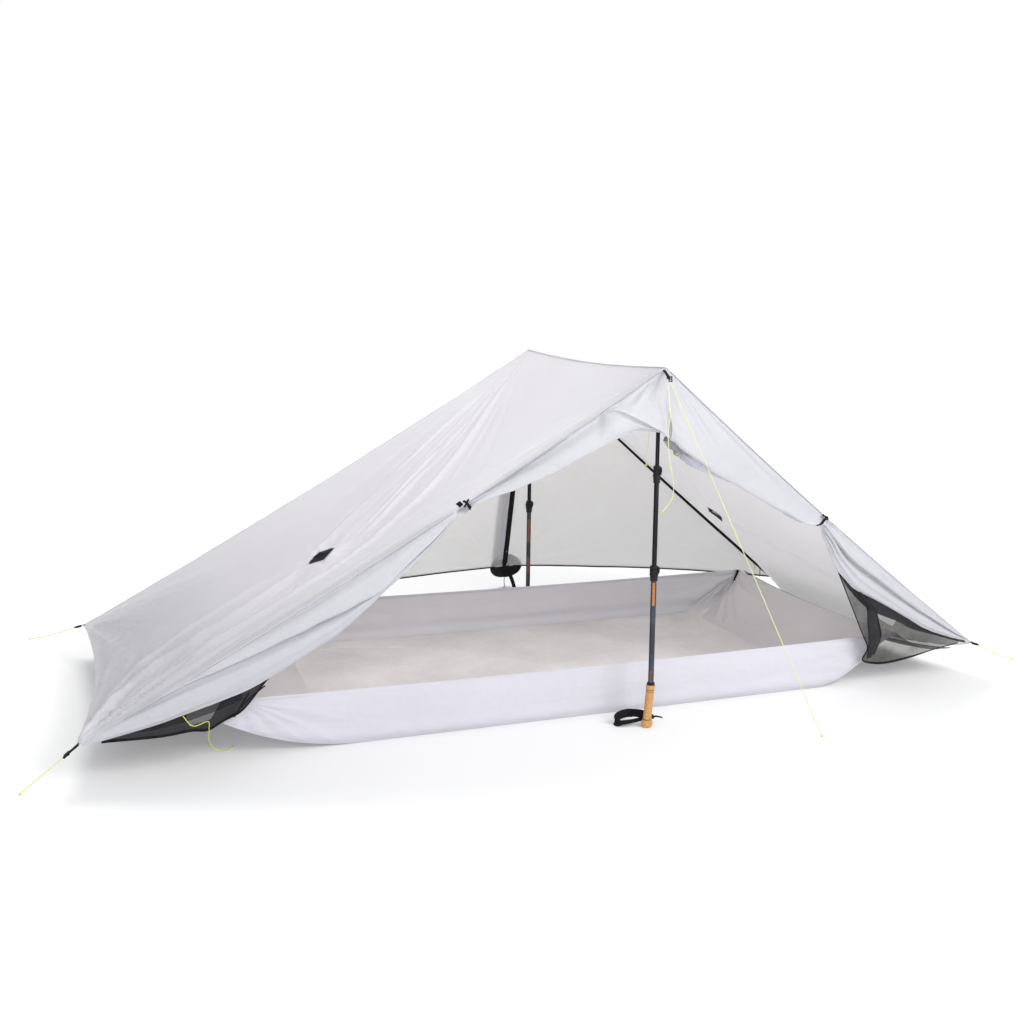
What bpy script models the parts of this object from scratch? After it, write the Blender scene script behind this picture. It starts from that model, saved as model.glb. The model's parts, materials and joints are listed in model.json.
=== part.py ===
"""Two-pole ridge shelter: silvery single-wall canopy, bathtub floor, tied-back
near door, closed far vestibule, two telescoping poles standing on their grips.

Frame: metres, +Z up, X along the sleeping length, +Y towards the closed far
vestibule, origin at the middle of the floor's underside.
"""
import bpy
import bmesh
import math
from mathutils import Vector, Matrix

# ----------------------------------------------------------------------------
# Driving dimensions
# ----------------------------------------------------------------------------
CLOTH = 0.0020            # stand-in thickness of the canopy fabric
MESH_CLOTH = 0.0016       # stand-in thickness of the netting
GAP = 0.0004              # gap kept between touching pieces

NEAR_PEAK = Vector((0.100, -0.630, 1.180))
FAR_PEAK = Vector((0.110, 0.570, 1.192))
CORNER_NL = Vector((-1.663, -0.607, 0.130))
CORNER_FL = Vector((-1.674, 0.590, 0.130))
CORNER_NR = Vector((1.500, -0.598, 0.145))
CORNER_FR = Vector((1.440, 0.600, 0.120))
VESTIBULE = Vector((0.240, 1.150, 0.112))

SAG_RIDGE = 0.017
SAG_NL, SAG_FL, SAG_NR, SAG_FR = 0.027, 0.018, 0.019, 0.014
SAG_HEM = 0.045
CORD_R = 0.00125          # half the width of the guy and corner cords
DROP_HEM_R = 0.078        # how far the right hem hangs below the line between its corners
BELLY = 0.020             # how far each slope hangs below its ruled surface

TOGGLE_L = 0.385          # place of the left toggle along the near left edge
TOGGLE_R = 0.478          # place of the right toggle along the near right edge
GABLE_LOW = Vector((0.106, -0.675, 0.958))

FLOOR_HALF_X = 0.925
FLOOR_HALF_Y = 0.5145
WALL_Y = 0.5165
WALL_TOP_X = 1.205
WALL_TOP_Z = 0.182

NEAR_TIP = Vector((0.095, -0.605, 1.150))
NEAR_FOOT = Vector((0.090, -0.665, 0.0018))
FAR_TIP = Vector((0.115, 0.550, 1.158))
FAR_FOOT = Vector((0.135, 0.562, 0.0012))

R_LOWER, R_MIDDLE, R_UPPER = 0.0066, 0.0080, 0.0092   # outer radii of the tubes
WALL = 0.0009

GUY_STAKE = Vector((0.590, -0.916, 0.003))
STAKE_NL = Vector((-1.814, -0.592, 0.003))
STAKE_FL = Vector((-1.889, 0.884, 0.003))
STAKE_NR = Vector((1.853, -0.477, 0.003))

# ----------------------------------------------------------------------------
# Scene start
# ----------------------------------------------------------------------------
for ob in list(bpy.data.objects):
    bpy.data.objects.remove(ob, do_unlink=True)

COLL = bpy.data.collections.new("ridge_shelter")
bpy.context.scene.collection.children.link(COLL)


def material(name, rgb, rough, metal=0.0):
    m = bpy.data.materials.new(name)
    m.use_nodes = True
    b = m.node_tree.nodes["Principled BSDF"]
    b.inputs["Base Color"].default_value = (rgb[0], rgb[1], rgb[2], 1.0)
    b.inputs["Roughness"].default_value = rough
    b.inputs["Metallic"].default_value = metal
    m.diffuse_color = (rgb[0], rgb[1], rgb[2], 1.0)
    return m


SILVER = (0.80, 0.79, 0.83)
GREY = (0.58, 0.56, 0.55)
BLACK = (0.012, 0.012, 0.014)
CORD_Y = (0.78, 0.80, 0.24)


def finish(ob, name, mat, smooth=False):
    ob.name = name
    ob.data.name = name
    ob.data.materials.clear()
    ob.data.materials.append(mat)
    if smooth and ob.type == 'MESH':
        ob.data.shade_smooth()
        ob.data.set_sharp_from_angle(angle=math.radians(35))
    return ob


def link(me, name, mat, smooth=False):
    ob = bpy.data.objects.new(name, me)
    COLL.objects.link(ob)
    return finish(ob, name, mat, smooth)


def cloth(name, fn, nu, nv, thick, mat, smooth=True):
    """An open grid laid on fn(u, v), both 0 to 1, thickened by Solidify."""
    bm = bmesh.new()
    bmesh.ops.create_grid(bm, x_segments=nu, y_segments=nv, size=1.0)
    for v in bm.verts:
        v.co = fn((v.co.x + 1) / 2, (v.co.y + 1) / 2)
    bmesh.ops.recalc_face_normals(bm, faces=bm.faces)
    me = bpy.data.meshes.new(name)
    bm.to_mesh(me)
    bm.free()
    ob = link(me, name, mat, smooth)
    s = ob.modifiers.new("thickness", 'SOLIDIFY')
    s.thickness = thick
    s.offset = 0.0
    s.use_even_offset = False
    return ob


def block(name, centre, size, mat, x_axis=None, z_axis=None, bevel=0.0, parent=None):
    """A box with its sides along x_axis, z_axis and their cross product."""
    bm = bmesh.new()
    bmesh.ops.create_cube(bm, size=1.0)
    for v in bm.verts:
        v.co = Vector((v.co.x * size[0], v.co.y * size[1], v.co.z * size[2]))
    me = bpy.data.meshes.new(name)
    bm.to_mesh(me)
    bm.free()
    ob = link(me, name, mat)
    x = Vector(x_axis or (1, 0, 0)).normalized()
    z = Vector(z_axis or (0, 0, 1)).normalized()
    z = (z - x * z.dot(x)).normalized()
    y = z.cross(x)
    rot = Matrix((x, y, z)).transposed()
    ob.matrix_world = Matrix.Translation(Vector(centre)) @ rot.to_4x4()
    if bevel:
        b = ob.modifiers.new("edge", 'BEVEL')
        b.width = bevel
        b.segments = 1
    if parent:
        ob.parent = parent
    return ob


def turned(name, profile, steps, mat, closed, parent=None):
    """A profile in (radius, height), outer side first and downwards, turned about Z."""
    me = bpy.data.meshes.new(name)
    n = len(profile)
    edges = [(i, i + 1) for i in range(n - 1)]
    if closed:
        edges.append((n - 1, 0))
    me.from_pydata([(r, 0, z) for r, z in profile], edges, [])
    ob = link(me, name, mat)
    s = ob.modifiers.new("turn", 'SCREW')
    s.axis = 'Z'
    s.angle = 2 * math.pi
    s.steps = steps
    s.render_steps = steps
    s.use_merge_vertices = True
    s.merge_threshold = 0.00005
    s.use_normal_calculate = False
    if parent:
        ob.parent = parent
    return ob


def catmull(points, n):
    """n + 1 points evenly placed along a smooth curve through the given ones."""
    pts = [Vector(p) for p in points]
    ext = [pts[0] * 2 - pts[1]] + pts + [pts[-1] * 2 - pts[-2]]
    fine = []
    for i in range(1, len(ext) - 2):
        p0, p1, p2, p3 = ext[i - 1], ext[i], ext[i + 1], ext[i + 2]
        for k in range(24):
            t = k / 24
            fine.append(0.5 * ((2 * p1) + (p2 - p0) * t + (2 * p0 - 5 * p1 + 4 * p2 - p3) * t * t
                               + (3 * p1 - p0 - 3 * p2 + p3) * t ** 3))
    fine.append(pts[-1])
    acc = [0.0]
    for a, b in zip(fine[:-1], fine[1:]):
        acc.append(acc[-1] + (b - a).length)
    out, j = [], 0
    for k in range(n + 1):
        d = acc[-1] * k / n
        while j < len(acc) - 2 and acc[j + 1] < d:
            j += 1
        f = (d - acc[j]) / max(acc[j + 1] - acc[j], 1e-9)
        out.append(fine[j].lerp(fine[j + 1], min(max(f, 0), 1)))
    return out


def cord(name, points, radius, mat, n):
    pts = catmull(points, n)
    cu = bpy.data.curves.new(name, 'CURVE')
    cu.dimensions = '3D'
    sp = cu.splines.new('POLY')
    sp.points.add(len(pts) - 1)
    for p, q in zip(sp.points, pts):
        p.co = (q.x, q.y, q.z, 1.0)
    cu.bevel_depth = radius
    cu.bevel_resolution = 2
    cu.use_fill_caps = True
    ob = bpy.data.objects.new(name, cu)
    COLL.objects.link(ob)
    return finish(ob, name, mat)


# ----------------------------------------------------------------------------
# Edges of the canopy
# ----------------------------------------------------------------------------
def edge(a, b, sag):
    def f(t):
        return a.lerp(b, t) - Vector((0, 0, 4 * sag * t * (1 - t)))
    return f


near_l = edge(NEAR_PEAK, CORNER_NL, SAG_NL)
far_l = edge(FAR_PEAK, CORNER_FL, SAG_FL)
near_r = edge(NEAR_PEAK, CORNER_NR, SAG_NR)
far_r = edge(FAR_PEAK, CORNER_FR, SAG_FR)


def ridge(v):
    return NEAR_PEAK.lerp(FAR_PEAK, v) - Vector((0, 0, 4 * SAG_RIDGE * v * (1 - v)))


def droop(v):
    """Shape of the right hem between its corners, 0 at both, a little fuller towards the far one."""
    return (4 * v * (1 - v)) ** 0.6 + 4 * v ** 8 * (1 - v)


def slope(near, far, hem_pull, ridge_gap, hem_drop=0.0):
    """Coons patch of a slope; u runs from the ridge to the hem, v from near to far."""
    def hem(v):
        return near(1).lerp(far(1), v) + Vector((hem_pull * 4 * v * (1 - v), 0, 0))

    def f(u, v):
        a = near(u).lerp(far(u), v)
        b = ridge(v).lerp(hem(v), u)
        c = (NEAR_PEAK.lerp(FAR_PEAK, v)).lerp(near(1).lerp(far(1), v), u)
        p = a + b - c
        p.z -= BELLY * 16 * u * (1 - u) * v * (1 - v) + hem_drop * droop(v) * u ** 4
        return p
    u0, v0 = ridge_gap, 0.002

    def g(u, v):
        return f(u0 + (1 - u0) * u, v0 + (1 - 2 * v0) * v)
    return f, g


left_f, left_g = slope(near_l, far_l, SAG_HEM, 0.0008)
right_f, right_g = slope(near_r, far_r, -SAG_HEM, 0.0010, DROP_HEM_R)

m_canopy = material("silver_canopy", SILVER, 0.45)
m_canopy2 = material("silver_canopy_right", (0.77, 0.77, 0.80), 0.45)
m_door = material("silver_door", (0.74, 0.73, 0.78), 0.45)
m_black = material("black_webbing", BLACK, 0.7)
m_plastic = material("black_plastic", (0.015, 0.015, 0.017), 0.4)
m_mesh = material("black_netting", (0.05, 0.045, 0.05), 0.9)
m_cord = material("yellow_cord", CORD_Y, 0.6)
m_floor = material("grey_floor", GREY, 0.55)
m_wall = material("silver_wall", (0.72, 0.71, 0.76), 0.5)

cloth("canopy_left_panel", left_g, 12, 8, CLOTH, m_canopy)
cloth("canopy_right_panel", right_g, 12, 8, CLOTH, m_canopy2)


# ----------------------------------------------------------------------------
# Near door halves: zipped at the top, tied back at the toggles, then bunched
# along the edge down to the corners
# ----------------------------------------------------------------------------
def path(points):
    pts = [Vector(p) for p in points]
    acc = [0.0]
    for a, b in zip(pts[:-1], pts[1:]):
        acc.append(acc[-1] + (b - a).length)

    def f(t):
        d = acc[-1] * min(max(t, 0), 1)
        for i in range(len(pts) - 1):
            if d <= acc[i + 1] or i == len(pts) - 2:
                return pts[i].lerp(pts[i + 1], (d - acc[i]) / (acc[i + 1] - acc[i]))
    return f


def smooth_path(points, n=60):
    return path(catmull(points, n))


def near_door(seam, t_toggle, side, swag, low):
    """side is -1 on the left and +1 on the right; swag and low are the free hems."""
    swag_f, low_f = smooth_path(swag), smooth_path(low)
    cut = 0.50

    def top(t):
        drop = 0.034 * math.exp(-t / 0.03)
        return seam(t) + Vector((side * 0.003 * math.exp(-t / 0.03), -0.011, -0.006 - drop))

    def f(u, v):
        if u <= cut:
            w = u / cut
            a, b = top(t_toggle * w), swag_f(w)
            bag = 0.016 * math.sin(math.pi * v) * math.sin(math.pi * min(w * 1.05, 1))
        else:
            w = (u - cut) / (1 - cut)
            a, b = top(t_toggle + (0.985 - t_toggle) * w), low_f(w)
            bag = 0.012 * math.sin(math.pi * v) * math.sin(math.pi * w)
        p = a.lerp(b, v)
        p.y -= bag
        return p
    return f


tl = near_l(TOGGLE_L)
tr = near_r(TOGGLE_R)
swag_l = [GABLE_LOW + Vector((-0.003, 0, 0)), (0.053, -0.672, 0.984), (-0.040, -0.668, 0.955),
          (-0.153, -0.660, 0.909), (-0.291, -0.652, 0.840), (-0.440, -0.642, 0.785),
          tl + Vector((0, -0.012, -0.026))]
low_l = [tl + Vector((0, -0.012, -0.026)), (-0.661, -0.618, 0.614), (-0.815, -0.614, 0.488),
         (-0.929, -0.612, 0.389), (-1.057, -0.612, 0.333), (-1.144, -0.612, 0.262),
         (-1.276, -0.612, 0.206), (-1.378, -0.612, 0.178), (-1.500, -0.612, 0.150),
         (-1.615, -0.615, 0.132)]
swag_r = [GABLE_LOW + Vector((0.003, 0, 0)), (0.165, -0.672, 0.905), (0.258, -0.664, 0.836),
          (0.345, -0.658, 0.812), (0.445, -0.650, 0.775), (0.560, -0.640, 0.710),
          (0.680, -0.630, 0.648), tr + Vector((-0.004, -0.012, -0.026))]
low_r = [tr + Vector((-0.004, -0.012, -0.026)), (0.790, -0.618, 0.540), (0.870, -0.615, 0.450),
         (1.000, -0.612, 0.372), (1.150, -0.610, 0.270), (1.300, -0.607, 0.200),
         (1.430, -0.606, 0.154)]
cloth("near_left_door", near_door(near_l, TOGGLE_L, -1, swag_l, low_l), 26, 4, CLOTH, m_door)
cloth("near_right_door", near_door(near_r, TOGGLE_R, 1, swag_r, low_r), 26, 4, CLOTH, m_door)


# ----------------------------------------------------------------------------
# Far vestibule: two closed door halves, the zipper between them
# ----------------------------------------------------------------------------
ZIP_TOP = FAR_PEAK + Vector((0.0, 0.004, -0.012))
zip_dir = (VESTIBULE - ZIP_TOP).normalized()
ZIP_HALF = 0.0125


def far_door(seam, side):
    across = Vector((side, 0, 0))
    across = (across - zip_dir * across.dot(zip_dir)).normalized()

    def f(u, v):
        t = 0.045 + 0.955 * u
        a = seam(t) + Vector((0, 0.006, -0.008))
        b = ZIP_TOP.lerp(VESTIBULE, t) + across * (ZIP_HALF + 0.0020)
        p = a.lerp(b, v)
        hem = 0.022 * 4 * v * (1 - v) * u ** 3
        p.z += hem
        p.y -= 0.020 * 4 * v * (1 - v) * u
        return p
    return f


cloth("far_left_door", far_door(far_l, -1), 8, 6, CLOTH, m_door)
cloth("far_right_door", far_door(far_r, 1), 8, 6, CLOTH, m_door)
door_normal = zip_dir.cross(Vector((1, 0, 0))).normalized()
if door_normal.y > 0:
    door_normal = -door_normal                       # points into the tent
zip_len = (VESTIBULE - ZIP_TOP).length
zip_across = (Vector((1, 0, 0)) - zip_dir * zip_dir.x).normalized()
block("far_zipper_tape", ZIP_TOP + zip_dir * (zip_len * 0.52), (2 * ZIP_HALF, 0.0016, zip_len * 0.955),
      m_black, x_axis=tuple(zip_across), z_axis=tuple(-zip_dir))
SLIDER_AT = ZIP_TOP + zip_dir * (zip_len - 0.105) + door_normal * 0.0046
block("far_zipper_slider", SLIDER_AT, (0.011, 0.0068, 0.016), m_plastic,
      x_axis=tuple(zip_across), z_axis=tuple(-zip_dir), bevel=0.0015)
# reinforcement disc at the stake point, on the outside of the hem
HEM_R = 0.080


def hem_disc(u, v):
    a, b = 2 * u - 1, 2 * v - 1
    a, b = a * math.sqrt(1 - b * b / 2) * HEM_R, b * math.sqrt(1 - a * a / 2) * HEM_R
    p = VESTIBULE + Vector((a, 0, 0)) + zip_dir * b - door_normal * 0.0085
    lean = 0.30 if a < 0 else 0.44
    p.y -= lean * math.sqrt(a * a + 1e-6)            # the two door halves meet at an angle
    return p


cloth("far_hem_patch", hem_disc, 8, 8, 0.0014, m_black)
WEB_TOP = Vector((0.262, 1.126, 0.074))
WEB_LOW = Vector((0.284, 1.118, 0.004))
block("far_stake_webbing", (WEB_TOP + WEB_LOW) / 2, (0.020, 0.0020, (WEB_TOP - WEB_LOW).length),
      m_black, x_axis=(1, 0, 0), z_axis=tuple(WEB_TOP - WEB_LOW))


# ----------------------------------------------------------------------------
# Side tie-out patches on the two slopes
# ----------------------------------------------------------------------------
def surface_patch(name, f, u, v, size, turn):
    e = 1e-3
    p = f(u, v)
    du = (f(u + e, v) - p).normalized()
    dv = (f(u, v + e) - p).normalized()
    n = du.cross(dv).normalized()
    if n.z < 0:
        n = -n
    ax = (du * math.cos(turn) + dv * math.sin(turn)).normalized()
    return block(name, p + n * 0.0042, (size[0], size[1], 0.0014), m_black,
                 x_axis=tuple(ax), z_axis=tuple(n))


surface_patch("left_tieout_patch", left_f, 0.583, 0.345, (0.074, 0.074), math.radians(45))
surface_patch("right_tieout_patch", right_f, 0.615, 0.790, (0.074, 0.074), math.radians(-45))


# ----------------------------------------------------------------------------
# Peak grommets, each on a webbing tab, and the near peak's line lock
# ----------------------------------------------------------------------------
def grommet(name, tip, out_y, reach):
    """A webbing tab lying flat with the hole that a pole tip goes through."""
    bm = bmesh.new()
    bmesh.ops.create_cube(bm, size=1.0)
    depth = reach + 0.013
    for v in bm.verts:
        v.co = Vector((v.co.x * 0.026, v.co.y * depth, v.co.z * 0.0022))
    me = bpy.data.meshes.new(name)
    bm.to_mesh(me)
    bm.free()
    ob = link(me, name, m_black)
    ob.location = (tip.x, tip.y + out_y * (depth / 2 - 0.013), tip.z + 0.0011)
    bm = bmesh.new()
    bmesh.ops.create_cone(bm, cap_ends=True, segments=20, radius1=0.0055, radius2=0.0055, depth=0.02)
    mc = bpy.data.meshes.new(name + "_hole")
    bm.to_mesh(mc)
    bm.free()
    cut = bpy.data.objects.new(name + "_hole", mc)
    CUTTERS.objects.link(cut)
    cut.location = (tip.x, tip.y, tip.z)
    cut.hide_render = True
    cut.display_type = 'WIRE'
    b = ob.modifiers.new("hole", 'BOOLEAN')
    b.operation = 'DIFFERENCE'
    b.solver = 'EXACT'
    b.object = cut
    return ob


CUTTERS = bpy.data.collections.new("cutters")
bpy.context.scene.collection.children.link(CUTTERS)
grommet("near_peak_grommet", NEAR_TIP, -1, 0.074)
grommet("far_peak_grommet", FAR_TIP, 1, 0.020)
LOCK_PEAK = Vector((0.0850, -0.6925, 1.1465))
block("near_peak_line_lock", LOCK_PEAK, (0.014, 0.010, 0.0225), m_plastic, bevel=0.002)

# ----------------------------------------------------------------------------
# Bathtub floor and its four walls
# ----------------------------------------------------------------------------
block("bathtub_floor", (0, 0, 0.0015), (2 * FLOOR_HALF_X, 2 * FLOOR_HALF_Y, 0.003), m_floor)


def lift(s):
    return max(0.0, (abs(s) - 0.78) / 0.22) ** 1.5


def pulled(side_x, side_y):
    """How far out and how far up each bottom corner of the tub is pulled."""
    if side_y > 0:
        return 0.2225, 0.060
    return (0.3370, 0.112) if side_x < 0 else (0.1725, 0.125)


def rise(side_x, side_y, s):
    """How the long walls' lower edge climbs to its pulled corners."""
    start, power = (0.78, 1.5) if side_y > 0 else ((0.65, 2.2) if side_x < 0 else (0.78, 2.0))
    return max(0.0, (abs(s) - start) / (1 - start)) ** power


def long_wall(side):
    def f(u, v):
        s = (2 * u - 1) * 0.994
        low_x, low_z = pulled(s, side)
        low_x += FLOOR_HALF_X + 0.0025
        low = Vector((low_x * s, side * (WALL_Y + 0.002 * lift(s)), 0.0005 + low_z * rise(s, side, s)))
        high = Vector((WALL_TOP_X * s, side * (WALL_Y + 0.006),
                       WALL_TOP_Z - 0.006 + 0.010 * s * s))
        p = low.lerp(high, v)
        p.y += side * 0.006 * math.sin(math.pi * v)
        return p
    return f


def end_wall(side):
    def f(u, v):
        s = (2 * u - 1) * 0.985
        out, up = pulled(side, s)
        low = Vector((side * (FLOOR_HALF_X + 0.0025 + out * lift(s)), WALL_Y * 0.992 * s,
                      0.0016 + up * lift(s)))
        high = Vector((side * (WALL_TOP_X - 0.022 * (1 - s * s)), WALL_Y * s,
                       WALL_TOP_Z - 0.012 + 0.014 * s * s))
        return low.lerp(high, v)
    return f


cloth("bathtub_near_wall", long_wall(-1), 16, 3, 0.0022, m_wall)
cloth("bathtub_far_wall", long_wall(1), 16, 3, 0.0022, m_wall)
cloth("bathtub_left_wall", end_wall(-1), 10, 3, 0.0022, m_wall)
cloth("bathtub_right_wall", end_wall(1), 10, 3, 0.0022, m_wall)
block("bathtub_corner_strip", (1.146, 0.5085, 0.1360), (0.013, 0.0016, 0.082), m_black,
      x_axis=(1, 0, 0), z_axis=(0.22, 0.0, 0.97))


# ----------------------------------------------------------------------------
# Netting: side triangles by the near door, end strips under the canopy hems
# ----------------------------------------------------------------------------
def side_net(seam, t0, low):
    low_f = smooth_path(low)

    def f(u, v):
        t = t0 + (0.965 - t0) * u
        a = seam(t) + Vector((0, 0.018, -0.016))
        return a.lerp(low_f(u), v)
    return f


cloth("mesh_near_left", side_net(near_l, 0.40, [
    (-0.615, -0.592, 0.690), (-0.800, -0.585, 0.485), (-0.990, -0.574, 0.300), (-1.165, -0.556, 0.188),
    (-1.240, -0.550, 0.125), (-1.330, -0.560, 0.112), (-1.450, -0.570, 0.112),
    (-1.605, -0.585, 0.118)]), 14, 3, MESH_CLOTH, m_mesh)
cloth("mesh_near_right", side_net(near_r, 0.485, [
    (0.765, -0.592, 0.625), (0.907, -0.590, 0.326), (1.030, -0.575, 0.168), (1.125, -0.556, 0.098),
    (1.200, -0.560, 0.092), (1.310, -0.570, 0.108), (1.440, -0.582, 0.128)]), 14, 3, MESH_CLOTH, m_mesh)


def end_net(side, near_c, far_c):
    pull = 0.010

    def f(u, v):
        y = -0.515 + 1.03 * u
        k = (y - near_c.y) / (far_c.y - near_c.y)
        outer = near_c.lerp(far_c, k)
        drop = DROP_HEM_R * droop(k) if side > 0 else 0.0
        outer = outer + Vector((-side * (SAG_HEM * 4 * k * (1 - k) + pull), 0, -0.014 - drop))
        inner = Vector((side * (WALL_TOP_X - 0.022 * (1 - (2 * u - 1) ** 2) + 0.008), y, WALL_TOP_Z - 0.004))
        p = inner.lerp(outer, v)
        p.z -= 0.030 * math.sin(math.pi * v)
        return p
    return f


cloth("mesh_left_end", end_net(-1, CORNER_NL, CORNER_FL), 8, 4, MESH_CLOTH, m_mesh)
cloth("mesh_right_end", end_net(1, CORNER_NR, CORNER_FR), 8, 4, MESH_CLOTH, m_mesh)

# the inner netting door, rolled up under the right swag and tied near the pole
cord("mesh_door_roll", [(0.120, -0.641, 0.944), (0.150, -0.641, 0.912), (0.195, -0.641, 0.885),
                        (0.264, -0.640, 0.850), (0.350, -0.638, 0.818), (0.448, -0.634, 0.782),
                        (0.560, -0.626, 0.716), (0.660, -0.616, 0.664), (0.735, -0.604, 0.652)],
     0.0115, material("grey_net_roll", (0.16, 0.155, 0.17), 0.9), 24)
ring_c = Vector((0.150, -0.641, 0.912))
ring_n = (Vector((0.195, -0.641, 0.885)) - Vector((0.120, -0.641, 0.944))).normalized()
ring_a = ring_n.cross(Vector((0, 1, 0))).normalized()
ring_b = ring_n.cross(ring_a)
tie = [ring_c + (ring_a * math.cos(a) + ring_b * math.sin(a)) * 0.0142
       for a in [math.radians(130 + 31 * k) for k in range(11)]]
cord("roll_tie_cord", tie + [tie[-1] + Vector((-0.002, -0.003, -0.009)), tie[-1] + Vector((-0.003, -0.003, -0.022))],
     0.0009, m_cord, 22)


# black zipper of the far netting door, hanging just inside the far right edge
def far_net_zip(u, v):
    t = 0.075 + 0.885 * u
    half = 0.0040 + 0.0030 * t
    c = far_r(t) + Vector((0, -0.010, -0.020))
    return c + Vector((0.45, 0, -0.89)) * half * (2 * v - 1)


cloth("far_mesh_zipper", far_net_zip, 20, 1, 0.0016, m_black)


# ----------------------------------------------------------------------------
# Door toggles, each a small bar across its loop
# ----------------------------------------------------------------------------
def toggle(name, at, direction):
    bm = bmesh.new()
    bmesh.ops.create_cone(bm, cap_ends=True, segments=14, radius1=0.0042, radius2=0.0042, depth=0.030)
    me = bpy.data.meshes.new(name)
    bm.to_mesh(me)
    bm.free()
    ob = link(me, name, m_plastic)
    z = Vector(direction).normalized()
    x = z.cross(Vector((0, 1, 0))).normalized()
    ob.matrix_world = Matrix.Translation(at) @ Matrix((x, z.cross(x), z)).transposed().to_4x4()
    return ob


toggle("left_door_toggle", (-0.552, -0.640, 0.774), (0.60, 0, 0.80))
toggle("right_door_toggle", (0.7512, -0.6335, 0.6730), (-0.55, 0, 0.83))


# ----------------------------------------------------------------------------
# Corner webbings, line locks and cords
# ----------------------------------------------------------------------------
def corner(tag, at, stake, lock=True, web=0.030):
    d = (Vector(stake) - at)
    d.normalize()
    side = d.cross(Vector((0, 0, 1))).normalized()
    w0 = at + d * 0.008
    block("corner_webbing_" + tag, w0 + d * web / 2, (web, 0.016, 0.0022), m_black,
          x_axis=tuple(d), z_axis=tuple(side.cross(d)))
    if lock:
        c = w0 + d * (web + 0.0085 + GAP)
        block("line_lock_" + tag, c, (0.017, 0.020, 0.006), m_plastic,
              x_axis=tuple(d), z_axis=tuple(side.cross(d)), bevel=0.0015)
        return w0 + d * (web + 0.017 + 2 * GAP), d
    return w0 + d * web, d


def corner_cord(name, start, d, stake, droop, n):
    end = Vector(stake)
    mid1 = start.lerp(end, 0.35) - Vector((0, 0, droop))
    mid2 = start.lerp(end, 0.72) - Vector((0, 0, droop))
    cord(name, [start, start + (end - start) * 0.05, mid1, mid2, end], CORD_R, m_cord, n)


s, d = corner("near_left", CORNER_NL, STAKE_NL, web=0.020)
corner_cord("corner_cord_near_left", s + d * 0.0012, d, STAKE_NL, 0.0, 16)
s, d = corner("far_left", CORNER_FL, STAKE_FL, web=0.026)
corner_cord("corner_cord_far_left", s + d * 0.0012, d, STAKE_FL, 0.004, 24)
s, d = corner("near_right", CORNER_NR, STAKE_NR, web=0.026)
corner_cord("corner_cord_near_right", s + d * 0.0012, d, STAKE_NR, 0.004, 28)
corner("far_right", CORNER_FR, (1.700, 0.900, 0.0), lock=False, web=0.055)

# near guy line: stake loop on the ground, up through the peak's line lock, slack tail down
cord("near_guyline", [GUY_STAKE, GUY_STAKE.lerp(Vector((0.0790, -0.703, 1.1420)), 0.33),
                      GUY_STAKE.lerp(Vector((0.0790, -0.703, 1.1420)), 0.66),
                      (0.0925, -0.708, 1.112), (0.0790, -0.703, 1.139), (0.0745, -0.701, 1.124),
                      (0.0800, -0.699, 1.098), (0.0875, -0.698, 1.052), (0.0868, -0.698, 1.0156),
                      (0.0818, -0.699, 0.9898), (0.0856, -0.700, 0.9482), (0.0932, -0.700, 0.8955),
                      (0.1115, -0.698, 0.8216), (0.1135, -0.695, 0.7763), (0.0960, -0.692, 0.7450),
                      (0.0800, -0.690, 0.7275)], CORD_R, m_cord, 64)
# the cord left lying by the near left corner of the floor
cord("left_free_cord", [(-1.383, -0.640, 0.197), (-1.357, -0.640, 0.164), (-1.314, -0.612, 0.162),
                        (-1.3095, -0.580, 0.126), (-1.308, -0.555, 0.1036), (-1.305, -0.500, 0.0593),
                        (-1.290, -0.465, 0.0188), (-1.268, -0.460, 0.0032), (-1.248, -0.456, 0.0030),
                        (-1.2315, -0.432, 0.0030)], CORD_R, m_cord, 32)
# short cord hanging inside the near peak
cord("inner_hanging_cord", [(0.072, -0.592, 1.130), (0.074, -0.592, 1.040), (0.073, -0.592, 0.960),
                            (0.069, -0.592, 0.866)], 0.0010, m_cord, 22)


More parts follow.
